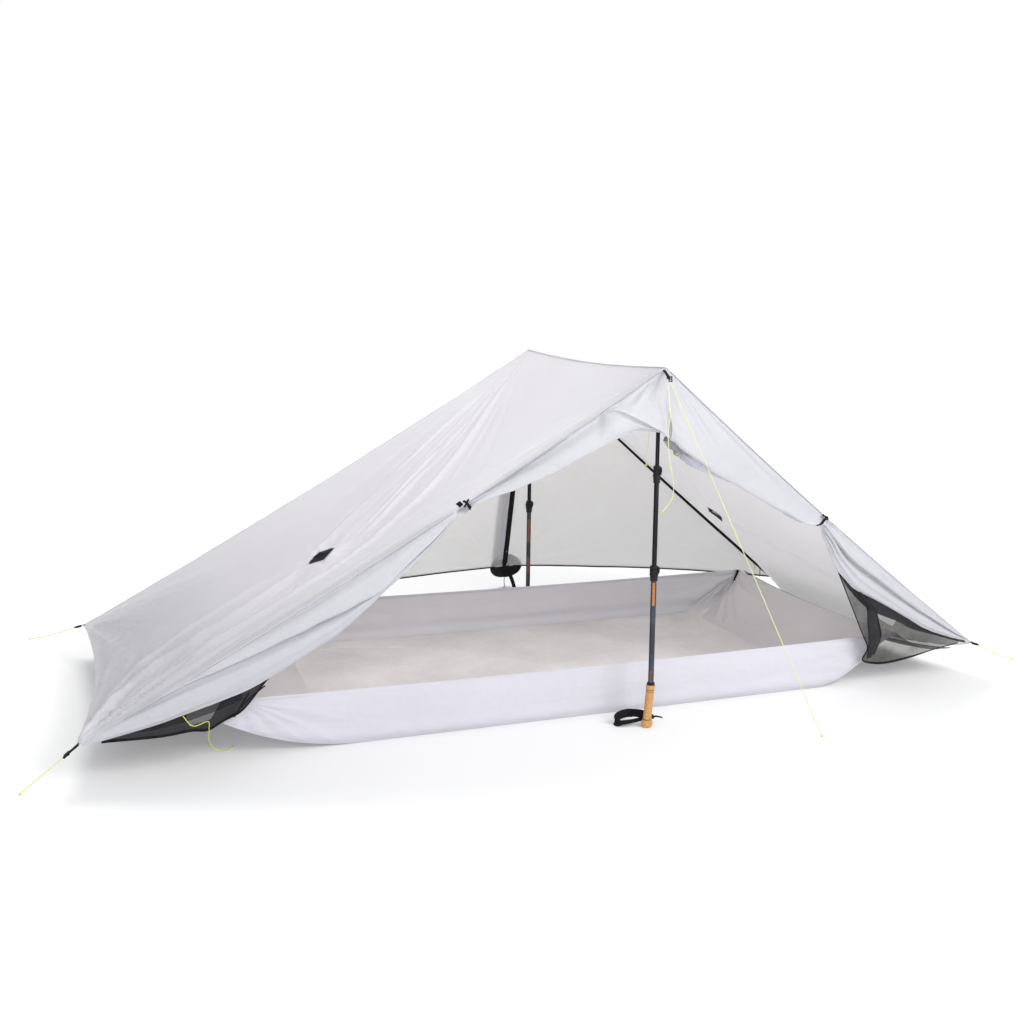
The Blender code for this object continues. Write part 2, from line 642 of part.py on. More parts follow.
# ----------------------------------------------------------------------------
# Telescoping poles, tip up in the peak, grip on the ground
# ----------------------------------------------------------------------------
def pole(tag, tip, foot, strap):
    up = (tip - foot)
    length = up.length
    z = up.normalized()
    x = (Vector((1, 0, 0)) - z * z.x).normalized()
    rig = bpy.data.objects.new(tag + "_pole_axis", None)
    COLL.objects.link(rig)
    rig.matrix_world = Matrix.Translation(tip) @ Matrix((x, z.cross(x), z)).transposed().to_4x4()

    aluminium = material(tag + "_shaft_black", (0.02, 0.022, 0.027), 0.35, 0.6)
    slate = material(tag + "_shaft_slate", (0.055, 0.065, 0.078), 0.35, 0.5)
    cork = material(tag + "_cork", (0.55, 0.30, 0.12), 0.85)
    clamp_m = material(tag + "_clamp", (0.012, 0.012, 0.014), 0.4)
    foot_z = -length
    lock1, lock2 = -0.312, -0.635            # heights of the two lock bodies' middles
    # slim lower shaft with its hardened tip, open at its hidden end
    turned(tag + "_lower_shaft", [
        (0.0, 0.0075), (0.0016, 0.0070), (0.0032, 0.0020), (0.0036, -0.0030), (R_LOWER, -0.0032),
        (R_LOWER, lock1 - 0.075), (R_LOWER - WALL, lock1 - 0.075), (R_LOWER - WALL, -0.0060),
        (0.0, -0.0060)], 14, aluminium, False, rig)
    # middle shaft
    top_m, low_m = lock1 - 0.002, lock2 - 0.085
    turned(tag + "_middle_shaft", [
        (R_MIDDLE, top_m), (R_MIDDLE, low_m), (R_MIDDLE - WALL, low_m), (R_MIDDLE - WALL, top_m)],
        14, aluminium, True, rig)
    # upper shaft, down into the grip
    top_u = lock2 - 0.002
    turned(tag + "_upper_shaft", [
        (R_UPPER, top_u), (R_UPPER, foot_z + 0.012), (R_UPPER - WALL, foot_z + 0.012), (R_UPPER - WALL, top_u)],
        14, slate, True, rig)

    # lock bodies: a stepped bore over the fixed tube and around the sliding one
    def lock(n, mid, r_slide, r_fix, r_out, half):
        turned("%s_lock_%d_body" % (tag, n), [
            (r_out * 0.88, mid + half), (r_out, mid + half - 0.004), (r_out, mid - half * 0.35),
            (r_fix + 0.0032, mid - half * 0.60), (r_fix + 0.0026, mid - half),
            (r_fix + GAP, mid - half), (r_fix + GAP, mid + 0.0005), (r_slide + GAP, mid + 0.0005),
            (r_slide + GAP, mid + half)], 14, clamp_m, True, rig)
        r_in = r_out + 0.0012

        def leaf(u, v):
            a = math.radians(-62 + 150 * u)
            r = r_in + 0.0013 + 0.0022 * u * u
            return Vector((r * math.cos(a), r * math.sin(a), mid + half * 0.42 + (v - 0.5) * half * 0.80))
        ob = cloth("%s_lock_%d_lever" % (tag, n), leaf, 10, 1, 0.0022, clamp_m)
        # origin on the lever's pin, which runs along the pole
        a = math.radians(-62)
        pin = Vector(((r_in + 0.0013) * math.cos(a), (r_in + 0.0013) * math.sin(a), mid + half * 0.42))
        ob.data.transform(Matrix.Translation(-pin))
        ob.parent = rig
        ob.location = pin
    lock(1, lock1, R_LOWER, R_MIDDLE, 0.0122, 0.028)
    lock(2, lock2, R_MIDDLE, R_UPPER, 0.0142, 0.025)

    # cork grip, its flared knob on the ground
    gt = foot_z + 0.143
    ri = R_UPPER + GAP
    turned(tag + "_grip", [
        (0.0, gt), (0.0138, gt), (0.0152, gt - 0.003), (0.0152, gt - 0.014), (0.0134, gt - 0.019), (0.0140, gt - 0.045),
        (0.0134, gt - 0.085), (0.0142, gt - 0.112), (0.0140, gt - 0.120), (0.0186, gt - 0.128),
        (0.0186, gt - 0.139), (0.0165, gt - 0.143),
        (0.0, gt - 0.143), ], 16, cork, False, rig)
    # the grip's bore takes the upper shaft
    bm = bmesh.new()
    bmesh.ops.create_cone(bm, cap_ends=True, segments=14, radius1=ri, radius2=ri, depth=0.160)
    mc = bpy.data.meshes.new(tag + "_grip_bore")
    bm.to_mesh(mc)
    bm.free()
    cut = bpy.data.objects.new(tag + "_grip_bore", mc)
    CUTTERS.objects.link(cut)
    cut.parent = rig
    cut.location = (0, 0, foot_z + 0.0115 + 0.080)
    cut.hide_render = True
    cut.display_type = 'WIRE'
    b = bpy.data.objects[tag + "_grip"].modifiers.new("bore", 'BOOLEAN')
    b.operation = 'DIFFERENCE'
    b.solver = 'EXACT'
    b.object = cut

    if strap:
        # webbing loop lying on its edge on the ground, its ends against the grip
        centre = Vector((foot.x, foot.y, 0))
        loop = smooth_path([centre + Vector(p) for p in (
            (-0.0175, -0.009, 0.0), (-0.050, -0.020, 0.0), (-0.090, -0.016, 0.0), (-0.122, 0.004, 0.0),
            (-0.133, 0.026, 0.0), (-0.118, 0.043, 0.0), (-0.080, 0.042, 0.0), (-0.046, 0.028, 0.0),
            (-0.0180, 0.0095, 0.0))], 60)

        def band(u, v):
            p = loop(u)
            return Vector((p.x, p.y, 0.0020 + 0.0155 * v))
        cloth(tag + "_wrist_strap", band, 28, 1, 0.0018, m_black)


pole("near", NEAR_TIP, NEAR_FOOT, True)
pole("far", FAR_TIP, FAR_FOOT, False)
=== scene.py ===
"""Looks of the two-pole ridge shelter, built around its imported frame. Metres, +Z up."""
import json
import math
import bpy
import bmesh
import numpy as np
from mathutils import Matrix, Vector

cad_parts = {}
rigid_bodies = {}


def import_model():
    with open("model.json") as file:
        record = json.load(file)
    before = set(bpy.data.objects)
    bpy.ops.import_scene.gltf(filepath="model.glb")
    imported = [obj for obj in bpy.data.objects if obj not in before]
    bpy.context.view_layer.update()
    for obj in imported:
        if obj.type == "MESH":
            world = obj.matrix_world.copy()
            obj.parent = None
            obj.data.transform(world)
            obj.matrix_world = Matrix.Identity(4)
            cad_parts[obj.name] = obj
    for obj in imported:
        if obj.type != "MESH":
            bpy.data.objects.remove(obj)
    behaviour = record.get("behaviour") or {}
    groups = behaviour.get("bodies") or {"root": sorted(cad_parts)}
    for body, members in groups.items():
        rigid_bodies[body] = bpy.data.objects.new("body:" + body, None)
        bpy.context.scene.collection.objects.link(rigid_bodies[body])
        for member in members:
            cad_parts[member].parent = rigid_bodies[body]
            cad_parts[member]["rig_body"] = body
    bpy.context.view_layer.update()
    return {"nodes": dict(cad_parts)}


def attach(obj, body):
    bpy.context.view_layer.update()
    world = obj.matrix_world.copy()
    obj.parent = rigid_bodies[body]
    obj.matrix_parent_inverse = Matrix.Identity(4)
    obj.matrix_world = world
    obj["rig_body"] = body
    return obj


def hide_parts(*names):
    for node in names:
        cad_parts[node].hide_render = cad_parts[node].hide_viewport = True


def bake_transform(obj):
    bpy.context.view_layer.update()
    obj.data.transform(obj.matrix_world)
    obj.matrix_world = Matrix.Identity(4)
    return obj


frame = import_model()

NODES = frame["nodes"]
SHELTER = "shelter"


def A(*p):
    return np.array(p, float)


# ============================================================================
# Camera, at the photograph's viewing angle
# ============================================================================
cam = bpy.data.objects.new("camera", bpy.data.cameras.new("camera"))
bpy.context.scene.collection.objects.link(cam)
bpy.context.scene.camera = cam
cam.data.sensor_width = 36.0
cam.data.lens = 36.0 * 1039.683 / 1024
cam.data.clip_start, cam.data.clip_end = 0.05, 400.0
r_ = Vector((0.935813, -0.351628, 0.024733))
u_ = Vector((0.041508, 0.179601, 0.982863))
f_ = Vector((0.350044, 0.918750, -0.182668))
cam.matrix_world = Matrix.Translation((-1.51669, -3.54913, 1.31833)) @ \
    Matrix((r_, u_, -f_)).transposed().to_4x4()


# ============================================================================
# Small maths
# ============================================================================
def lerp(a, b, t):
    t = np.asarray(t, float)[..., None]
    return a * (1 - t) + b * t


def unit(v):
    return v / np.maximum(np.linalg.norm(v, axis=-1, keepdims=True), 1e-12)


def smooth(points, n):
    """n + 1 points evenly placed along a smooth curve through the given ones."""
    p = np.array([tuple(q) for q in points], float)
    e = np.vstack([2 * p[0] - p[1], p, 2 * p[-1] - p[-2]])
    t = (np.arange(24) / 24)[:, None]
    out = []
    for i in range(1, len(e) - 2):
        a, b, c, d = e[i - 1:i + 3]
        out.append(0.5 * (2 * b + (c - a) * t + (2 * a - 5 * b + 4 * c - d) * t ** 2
                          + (3 * b - a - 3 * c + d) * t ** 3))
    fine = np.vstack(out + [p[-1:]])
    acc = np.r_[0, np.cumsum(np.linalg.norm(np.diff(fine, axis=0), axis=1))]
    s = np.linspace(0, acc[-1], n + 1)
    return np.stack([np.interp(s, acc, fine[:, k]) for k in range(3)], 1)


def curve(points, n=160):
    q = smooth(points, n)
    s = np.linspace(0, 1, len(q))
    return lambda t: np.stack([np.interp(np.clip(t, 0, 1), s, q[:, k]) for k in range(3)], -1)


def ease(x, a=0.0, b=1.0):
    x = np.clip((np.asarray(x, float) - a) / (b - a), 0, 1)
    return x * x * (3 - 2 * x)


def noise(x, y, seed):
    """Smooth noise from -1 to 1."""
    g = np.random.default_rng(seed).uniform(-1, 1, (64, 64))
    xi, yi = np.floor(x).astype(int), np.floor(y).astype(int)
    fx, fy = x - xi, y - yi
    fx, fy = fx * fx * (3 - 2 * fx), fy * fy * (3 - 2 * fy)
    a, b = g[xi % 64, yi % 64], g[(xi + 1) % 64, yi % 64]
    c, d = g[xi % 64, (yi + 1) % 64], g[(xi + 1) % 64, (yi + 1) % 64]
    return (a * (1 - fx) + b * fx) * (1 - fy) + (c * (1 - fx) + d * fx) * fy


def fbm(x, y, seed, octaves=4, gain=0.5):
    h, amp, tot = 0, 1.0, 0
    for k in range(octaves):
        h = h + amp * noise(x * 2 ** k + 7.3 * k, y * 2 ** k + 3.1 * k, seed + k)
        tot += amp
        amp *= gain
    return h / tot


def creased(x, y, seed, octaves=3):
    """Sharp-crested wrinkles, 0 to 1, as thin coated fabric takes."""
    wx = x + 0.8 * noise(x * 0.9, y * 0.9, seed + 50)
    wy = y + 0.8 * noise(x * 0.9 + 9, y * 0.9 + 4, seed + 51)
    h, amp, tot = 0, 1.0, 0
    for k in range(octaves):
        h = h + amp * (1 - np.abs(noise(wx * 2 ** k, wy * 2 ** k, seed + k))) ** 3
        tot += amp
        amp *= 0.55
    return h / tot


# ============================================================================
# Mesh makers
# ============================================================================
def normals(P):
    return unit(np.cross(np.gradient(P, axis=0), np.gradient(P, axis=1)))


def metric(P):
    du = np.linalg.norm(np.diff(P, axis=0), axis=2).mean(1)
    dv = np.linalg.norm(np.diff(P, axis=1), axis=2).mean(0)
    u, v = np.r_[0, np.cumsum(du)], np.r_[0, np.cumsum(dv)]
    return np.stack(np.meshgrid(u, v, indexing="ij"), -1)


def add_mesh(name, verts, faces, uv=None, mat=None, body=SHELTER, angle=None, M=None):
    me = bpy.data.meshes.new(name)
    me.from_pydata(np.asarray(verts, float).reshape(-1, 3).tolist(), [], [tuple(f) for f in faces])
    if uv is not None:
        layer = me.uv_layers.new(name="cloth")
        idx = np.zeros(len(me.loops), np.int32)
        me.loops.foreach_get("vertex_index", idx)
        layer.data.foreach_set("uv", np.asarray(uv, float).reshape(-1, 2)[idx].astype(np.float32).ravel())
    me.shade_smooth()
    if angle:
        me.set_sharp_from_angle(angle=math.radians(angle))
    ob = bpy.data.objects.new(name, me)
    bpy.context.scene.collection.objects.link(ob)
    if M is not None:
        ob.matrix_world = M
    for m in (mat if isinstance(mat, (list, tuple)) else [mat]):
        if m:
            me.materials.append(m)
    if body:
        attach(ob, body)
    return ob


def quads(nu, nv, wrap_u=False, wrap_v=False):
    i = np.arange(nu if wrap_u else nu - 1)
    j = np.arange(nv if wrap_v else nv - 1)
    i, j = np.meshgrid(i, j, indexing="ij")
    i2, j2 = (i + 1) % nu, (j + 1) % nv
    return np.stack([i * nv + j, i2 * nv + j, i2 * nv + j2, i * nv + j2], -1).reshape(-1, 4)


def sheet(name, P, mat, body=SHELTER, uv=None, turn=False):
    """One layer of fabric on a grid of points."""
    nu, nv = P.shape[:2]
    f = quads(nu, nv)
    if turn:
        f = f[:, ::-1]
    return add_mesh(name, P, f, metric(P) if uv is None else uv, mat, body)


def slab(name, P, thick, mat, body=SHELTER, M=None, angle=40):
    """A grid of points thickened into a closed plate."""
    nu, nv = P.shape[:2]
    n = normals(P)
    top, low = P + n * thick / 2, P - n * thick / 2
    k = nu * nv
    f = quads(nu, nv)
    rim = [i * nv for i in range(nu)] + [(nu - 1) * nv + j for j in range(1, nv)] + \
          [i * nv + nv - 1 for i in range(nu - 2, -1, -1)] + [j for j in range(nv - 2, 0, -1)]
    side = [(rim[i], rim[(i + 1) % len(rim)], rim[(i + 1) % len(rim)] + k, rim[i] + k) for i in range(len(rim))]
    faces = [tuple(q) for q in f] + [tuple(q[::-1] + k) for q in f] + [s[::-1] for s in side]
    m = metric(P)
    return add_mesh(name, np.concatenate([top.reshape(-1, 3), low.reshape(-1, 3)]), faces,
                    np.concatenate([m.reshape(-1, 2), m.reshape(-1, 2)]), mat, body, angle, M)


def frames(path, up):
    t = unit(np.gradient(path, axis=0))
    up = np.broadcast_to(np.asarray(up, float), path.shape)
    up = unit(up - t * (up * t).sum(1, keepdims=True))
    return t, up, np.cross(t, up)


def ribbon(name, path, up, width, thick, mat, body=SHELTER, sides=10, M=None, twist=None):
    """A closed flat strip along a path: webbing, tape, hem or binding."""
    path = np.array(path, float)
    t, up, side = frames(path, up)
    w = np.broadcast_to(np.asarray(width, float), (len(path),))[:, None, None]
    h = np.broadcast_to(np.asarray(thick, float), (len(path),))[:, None, None]
    a = np.arange(sides) * 2 * math.pi / sides + math.pi / sides
    cx = np.sign(np.cos(a)) * np.abs(np.cos(a)) ** 0.35 * 0.5
    cy = np.sign(np.sin(a)) * np.abs(np.sin(a)) ** 0.8 * 0.5
    P = path[:, None] + side[:, None] * w * cx[None, :, None] + up[:, None] * h * cy[None, :, None]
    n = len(path)
    f = [tuple(q) for q in quads(n, sides, wrap_v=True)]
    f += [tuple(range(sides))[::-1], tuple((n - 1) * sides + k for k in range(sides))]
    s = np.r_[0, np.cumsum(np.linalg.norm(np.diff(path, axis=0), axis=1))]
    uv = np.stack([np.broadcast_to(s[:, None], (n, sides)),
                   cx[None, :] * w[:, 0, :] + 0.5], -1)
    return add_mesh(name, P, f, uv, mat, body, 50, M)


def tube(name, path, radius, mat, body=SHELTER, sides=10, M=None):
    """A closed round tube along a path, with its twist-free frame."""
    path = np.array(path, float)
    n = len(path)
    t = unit(np.gradient(path, axis=0))
    x = unit(np.cross(t[0], A(0.3, 0.5, 0.81)))
    xs = [x]
    for k in range(1, n):
        x = unit(xs[-1] - t[k] * (xs[-1] @ t[k]))
        xs.append(x)
    xs = np.array(xs)
    ys = np.cross(t, xs)
    a = np.arange(sides) * 2 * math.pi / sides
    r = np.broadcast_to(np.asarray(radius, float), (n,))[:, None, None]
    P = path[:, None] + r * (xs[:, None] * np.cos(a)[None, :, None] + ys[:, None] * np.sin(a)[None, :, None])
    f = [tuple(q) for q in quads(n, sides, wrap_v=True)]
    f += [tuple(range(sides))[::-1], tuple((n - 1) * sides + k for k in range(sides))]
    s = np.r_[0, np.cumsum(np.linalg.norm(np.diff(path, axis=0), axis=1))]
    uv = np.stack([np.broadcast_to(s[:, None], (n, sides)), np.broadcast_to(a[None] * float(np.mean(r)), (n, sides))], -1)
    return add_mesh(name, P, f, uv, mat, body, 60, M)


def lathe(name, profile, mat, body, M, steps=40, closed=False, angle=35):
    """A profile in (radius, height) turned about Z."""
    prof = np.array(profile, float)
    a = np.arange(steps) * 2 * math.pi / steps
    P = np.stack([prof[:, 0, None] * np.cos(a), prof[:, 0, None] * np.sin(a),
                  np.broadcast_to(prof[:, 1, None], (len(prof), steps))], -1)
    s = np.r_[0, np.cumsum(np.linalg.norm(np.diff(prof, axis=0), axis=1))]
    uv = np.stack([np.broadcast_to(prof[:, 1, None], P.shape[:2]),
                   np.broadcast_to(a[None] * prof[:, 0].max(), P.shape[:2])], -1)
    f = quads(len(prof), steps, wrap_u=closed, wrap_v=True)[:, ::-1]
    ob = add_mesh(name, P, f, uv, mat, None, None)
    bm = bmesh.new()
    bm.from_mesh(ob.data)
    bmesh.ops.remove_doubles(bm, verts=bm.verts, dist=1e-6)
    bmesh.ops.recalc_face_normals(bm, faces=bm.faces)
    bm.to_mesh(ob.data)
    bm.free()
    ob.data.shade_smooth()
    ob.data.set_sharp_from_angle(angle=math.radians(angle))
    ob.matrix_world = M
    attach(ob, body)
    return ob


def chunk(name, size, M, mat, body=SHELTER, bevel=0.001, segments=3, shape=None):
    """A moulded block with rounded edges; shape may move its corners first."""
    bm = bmesh.new()
    bmesh.ops.create_cube(bm, size=1.0)
    for v in bm.verts:
        v.co = Vector((v.co.x * size[0], v.co.y * size[1], v.co.z * size[2]))
        if shape:
            v.co = Vector(shape(v.co))
    bmesh.ops.bevel(bm, geom=bm.edges[:], offset=bevel, segments=segments, affect='EDGES', profile=0.5)
    me = bpy.data.meshes.new(name)
    bm.to_mesh(me)
    bm.free()
    me.shade_smooth()
    me.set_sharp_from_angle(angle=math.radians(40))
    ob = bpy.data.objects.new(name, me)
    bpy.context.scene.collection.objects.link(ob)
    ob.matrix_world = M
    me.materials.append(mat)
    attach(ob, body)
    return ob


def joined(name, obs, body=SHELTER):
    """Several makings of one piece as one object."""
    bpy.context.view_layer.update()
    mats, bm = [], bmesh.new()
    uvl = bm.loops.layers.uv.new("cloth")
    for o in obs:
        me = o.data.copy()
        me.transform(o.matrix_world)
        slot = []
        for m in me.materials:
            if m not in mats:
                mats.append(m)
            slot.append(mats.index(m))
        for p in me.polygons:
            p.material_index = slot[p.material_index] if slot else 0
        if not me.uv_layers:
            me.uv_layers.new(name="cloth")
        me.uv_layers[0].name = "cloth"
        bm.from_mesh(me)
        bpy.data.meshes.remove(me)
        bpy.data.objects.remove(o)
    me = bpy.data.meshes.new(name)
    bm.to_mesh(me)
    bm.free()
    for m in mats:
        me.materials.append(m)
    ob = bpy.data.objects.new(name, me)
    bpy.context.scene.collection.objects.link(ob)
    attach(ob, body)
    return ob


def place(at, x=None, z=None):
    x = Vector(x if x is not None else (1, 0, 0)).normalized()
    z = Vector(z if z is not None else (0, 0, 1))
    z = (z - x * z.dot(x)).normalized()
    return Matrix.Translation(Vector(at)) @ Matrix((x, z.cross(x), z)).transposed().to_4x4()


# ============================================================================
# Materials
# ============================================================================
class Nodes:
    def __init__(self, name):
        self.m = bpy.data.materials.new(name)
        self.m.use_nodes = True
        self.t = self.m.node_tree
        self.t.nodes.clear()
        self.out = self.t.nodes.new("ShaderNodeOutputMaterial")

    def __call__(self, kind, sets=(), **links):
        n = self.t.nodes.new("ShaderNode" + kind)
        for k, v in dict(sets).items():
            if hasattr(n, k):
                setattr(n, k, v)
            else:
                n.inputs[k].default_value = v
        for k, v in links.items():
            key = int(k[1:]) if k[0] == "i" and k[1:].isdigit() else k.replace("_", " ")
            self.put(v, n.inputs[key])
        return n

    def put(self, v, socket):
        if isinstance(v, tuple) and hasattr(v[0], "outputs"):
            self.t.links.new(v[0].outputs[v[1]], socket)
        elif hasattr(v, "outputs"):
            self.t.links.new(v.outputs[0], socket)
        else:
            socket.default_value = v

    def math(self, op, a, b=None, clamp=False):
        n = self.t.nodes.new("ShaderNodeMath")
        n.operation, n.use_clamp = op, clamp
        self.put(a, n.inputs[0])
        if b is not None:
            self.put(b, n.inputs[1])
        return n

    def rng(self, v, a, b, c, d):
        n = self.t.nodes.new("ShaderNodeMapRange")
        self.put(v, n.inputs[0])
        for i, x in enumerate((a, b, c, d)):
            n.inputs[i + 1].default_value = x
        return n

    def mix(self, fac, a, b):
        n = self.t.nodes.new("ShaderNodeMix")
        n.data_type = 'RGBA'
        self.put(fac, n.inputs[0])
        for v, s in ((a, n.inputs[6]), (b, n.inputs[7])):
            if isinstance(v, tuple) and not hasattr(v[0], "outputs"):
                s.default_value = (*v, 1.0)
            else:
                self.put(v, s)
        return (n, 2)

    def noise(self, scale, detail=3.0, rough=0.5, vec=None, distort=0.0):
        n = self.t.nodes.new("ShaderNodeTexNoise")
        n.inputs["Scale"].default_value = scale
        n.inputs["Detail"].default_value = detail
        n.inputs["Roughness"].default_value = rough
        n.inputs["Distortion"].default_value = distort
        self.put(vec if vec is not None else (self.coord(), "Object"), n.inputs["Vector"])
        return n

    def coord(self):
        if not hasattr(self, "tc"):
            self.tc = self.t.nodes.new("ShaderNodeTexCoord")
        return self.tc

    def uv(self):
        if not hasattr(self, "sep"):
            self.sep = self.t.nodes.new("ShaderNodeSeparateXYZ")
            self.t.links.new(self.coord().outputs["UV"], self.sep.inputs[0])
        return self.sep

    def lines(self, axis, pitch, width):
        """1 on thin lines every pitch metres along the cloth's own axis, else 0."""
        x = self.math('MULTIPLY', (self.uv(), axis), 1.0 / pitch)
        x = self.math('ABSOLUTE', self.math('SUBTRACT', self.math('FRACT', x), 0.5))
        return self.rng(x, 0.5 - width, 0.5, 0.0, 1.0)

    def bump(self, height, strength, distance, normal=None):
        n = self.t.nodes.new("ShaderNodeBump")
        n.inputs["Strength"].default_value = strength
        n.inputs["Distance"].default_value = distance
        self.put(height, n.inputs["Height"])
        if normal is not None:
            self.t.links.new(normal.outputs[0], n.inputs["Normal"])
        return n

    def end(self, shader):
        self.t.links.new(shader.outputs[0], self.out.inputs[0])
        return self.m


def fabric(name, colour, shade, through, behind, rough=0.5, rip=0.0055, blotch=2.0, crinkle=0.5, hem=None):
    """Thin coated ripstop: fine grid, small crinkles, soft mottling, and light from behind."""
    k = Nodes(name)
    big = k.noise(blotch, 4.0, 0.55)
    fine = k.noise(34.0, 5.0, 0.6)
    tone = k.math('ADD', k.math('MULTIPLY', big, 0.75), k.math('MULTIPLY', fine, 0.25))
    base = k.mix(k.rng(tone, 0.36, 0.64, 0.0, 1.0), shade, colour)
    grid = k.math('MAXIMUM', k.lines(0, rip, 0.10), k.lines(1, rip, 0.10))
    base = k.mix(k.math('MULTIPLY', grid, 0.16), base, tuple(c * 0.86 for c in colour))
    weave = k.math('ADD', k.math('SINE', k.math('MULTIPLY', (k.uv(), 0), 9000.0)),
                   k.math('SINE', k.math('MULTIPLY', (k.uv(), 1), 9000.0)))
    crumple = k.noise(26.0, 6.0, 0.62, distort=0.6)
    b = k.bump(weave, 0.05, 0.0002)
    b = k.bump(grid, 0.25, 0.0003, b)
    b = k.bump(crumple, crinkle, 0.0035, b)
    if hem:
        warp = k.t.nodes.new("ShaderNodeVectorMath")
        warp.operation = 'MULTIPLY_ADD'
        k.t.links.new(k.noise(14.0, 3.0).outputs["Color"], warp.inputs[0])
        warp.inputs[1].default_value = (.09, .09, .09)
        k.t.links.new(k.coord().outputs["Object"], warp.inputs[2])
        for scale, depth in ((12.0, .0100), (30.0, .0048)):
            cell = k.t.nodes.new("ShaderNodeTexVoronoi")
            cell.inputs["Scale"].default_value = scale
            k.t.links.new(warp.outputs[0], cell.inputs["Vector"])
            b = k.bump((cell, "Distance"), 1.0, depth, b)
            k.put(k.rng((k.uv(), 0), hem[0], hem[1], 0.0, hem[2]), b.inputs["Strength"])
    p = k("BsdfPrincipled", {"Roughness": rough, "Sheen Weight": 0.08, "Sheen Roughness": 0.4,
                             "Specular IOR Level": 0.35}, Base_Color=base, Normal=b)
    k.put(k.rng(fine, 0.3, 0.7, rough - 0.06, rough + 0.10), p.inputs["Roughness"])
    if through:
        t = k("BsdfTranslucent", Color=k.mix(k.rng(tone, 0.36, 0.64, 0.0, 1.0),
                                             tuple(c * 0.97 for c in behind), behind), Normal=b)
        x = k("MixShader", {"Fac": through})
        k.t.links.new(p.outputs[0], x.inputs[1])
        k.t.links.new(t.outputs[0], x.inputs[2])
        return k.end(x)
    return k.end(p)


def netting(name, colour, cover, pitch=0.0016, vary=0.10):
    """Open no-see-um net: dark threads with what is behind showing between them."""
    k = Nodes(name)
    s1 = k.math('ABSOLUTE', k.math('SINE', k.math('MULTIPLY', (k.uv(), 0), math.pi / pitch)))
    s2 = k.math('ABSOLUTE', k.math('SINE', k.math('MULTIPLY', (k.uv(), 1), math.pi / pitch)))
    hole = k.math('MINIMUM', s1, s2)
    thread = k.rng(hole, 0.25, 0.65, 1.0, 0.0)
    slack = k.noise(9.0, 4.0, 0.6)
    open_ = k.math('ADD', k.math('MULTIPLY', thread, 0.22), k.rng(slack, 0.3, 0.7, cover - 0.11 - vary, cover - 0.11 + vary))
    b = k.bump(thread, 0.3, 0.0003, k.bump(slack, 0.3, 0.004))
    shade = k.mix(k.rng(slack, 0.35, 0.65, 0.0, 1.0), tuple(c * 0.6 for c in colour), colour)
    p = k("BsdfPrincipled", {"Roughness": 0.8, "Sheen Weight": 0.04, "Sheen Roughness": 0.5, "Specular IOR Level": 0.15}, Base_Color=shade, Normal=b)
    t = k("BsdfTransparent")
    x = k("MixShader")
    k.put(k.math('MINIMUM', open_, 0.98), x.inputs[0])
    k.t.links.new(t.outputs[0], x.inputs[1])
    k.t.links.new(p.outputs[0], x.inputs[2])
    return k.end(x)


def webbing(name, colour, light, pitch=0.0016, sheen=0.03):
    """Woven tape: slanting ribs across the width, worn a little lighter in places."""
    k = Nodes(name)
    a = k.math('ADD', k.math('MULTIPLY', (k.uv(), 0), 2 * math.pi / pitch),
               k.math('MULTIPLY', k.math('ABSOLUTE', k.math('SUBTRACT', (k.uv(), 1), 0.5)), 2 * math.pi / pitch))
    rib = k.math('SINE', a)
    wear = k.noise(90.0, 4.0, 0.6)
    c = k.mix(k.rng(wear, 0.4, 0.75, 0.0, 0.8), colour, light)
    c = k.mix(k.rng(rib, -1, 1, 0.0, 0.35), c, tuple(x * 0.5 for x in colour))
    b = k.bump(rib, 0.5, 0.0004)
    p = k("BsdfPrincipled", {"Roughness": 0.75, "Sheen Weight": sheen, "Specular IOR Level": 0.15}, Base_Color=c, Normal=b)
    return k.end(p)


def moulded(name, colour, rough=0.42):
    k = Nodes(name)
    g = k.noise(700.0, 3.0, 0.6)
    w = k.noise(60.0, 4.0, 0.6)
    c = k.mix(k.rng(w, 0.45, 0.8, 0.0, 1.0), colour, tuple(min(1, x * 2.0 + 0.006) for x in colour))
    b = k.bump(g, 0.12, 0.0002)
    p = k("BsdfPrincipled", {"Roughness": rough, "Specular IOR Level": 0.28}, Base_Color=c, Normal=b)
    k.put(k.rng(w, 0.3, 0.7, rough - 0.08, rough + 0.12), p.inputs["Roughness"])
    return k.end(p)


def braid(name, colour, dark, pitch=0.0024):
    """Braided sheath: two crossing sets of strands."""
    k = Nodes(name)
    u = k.math('MULTIPLY', (k.uv(), 0), 2 * math.pi / pitch)
    v = k.math('MULTIPLY', (k.uv(), 1), 2 * math.pi / 0.0012)
    s = k.math('MAXIMUM', k.math('SINE', k.math('ADD', u, v)), k.math('SINE', k.math('SUBTRACT', u, v)))
    c = k.mix(k.rng(s, -0.6, 0.9, 0.0, 1.0), dark, colour)
    c = k.mix(k.rng(k.noise(40.0, 3.0), 0.4, 0.7, 0.0, 0.35), c, tuple(min(1, x * 1.15) for x in colour))
    p = k("BsdfPrincipled", {"Roughness": 0.6, "Sheen Weight": 0.3}, Base_Color=c, Normal=k.bump(s, 0.4, 0.0003))
    return k.end(p)


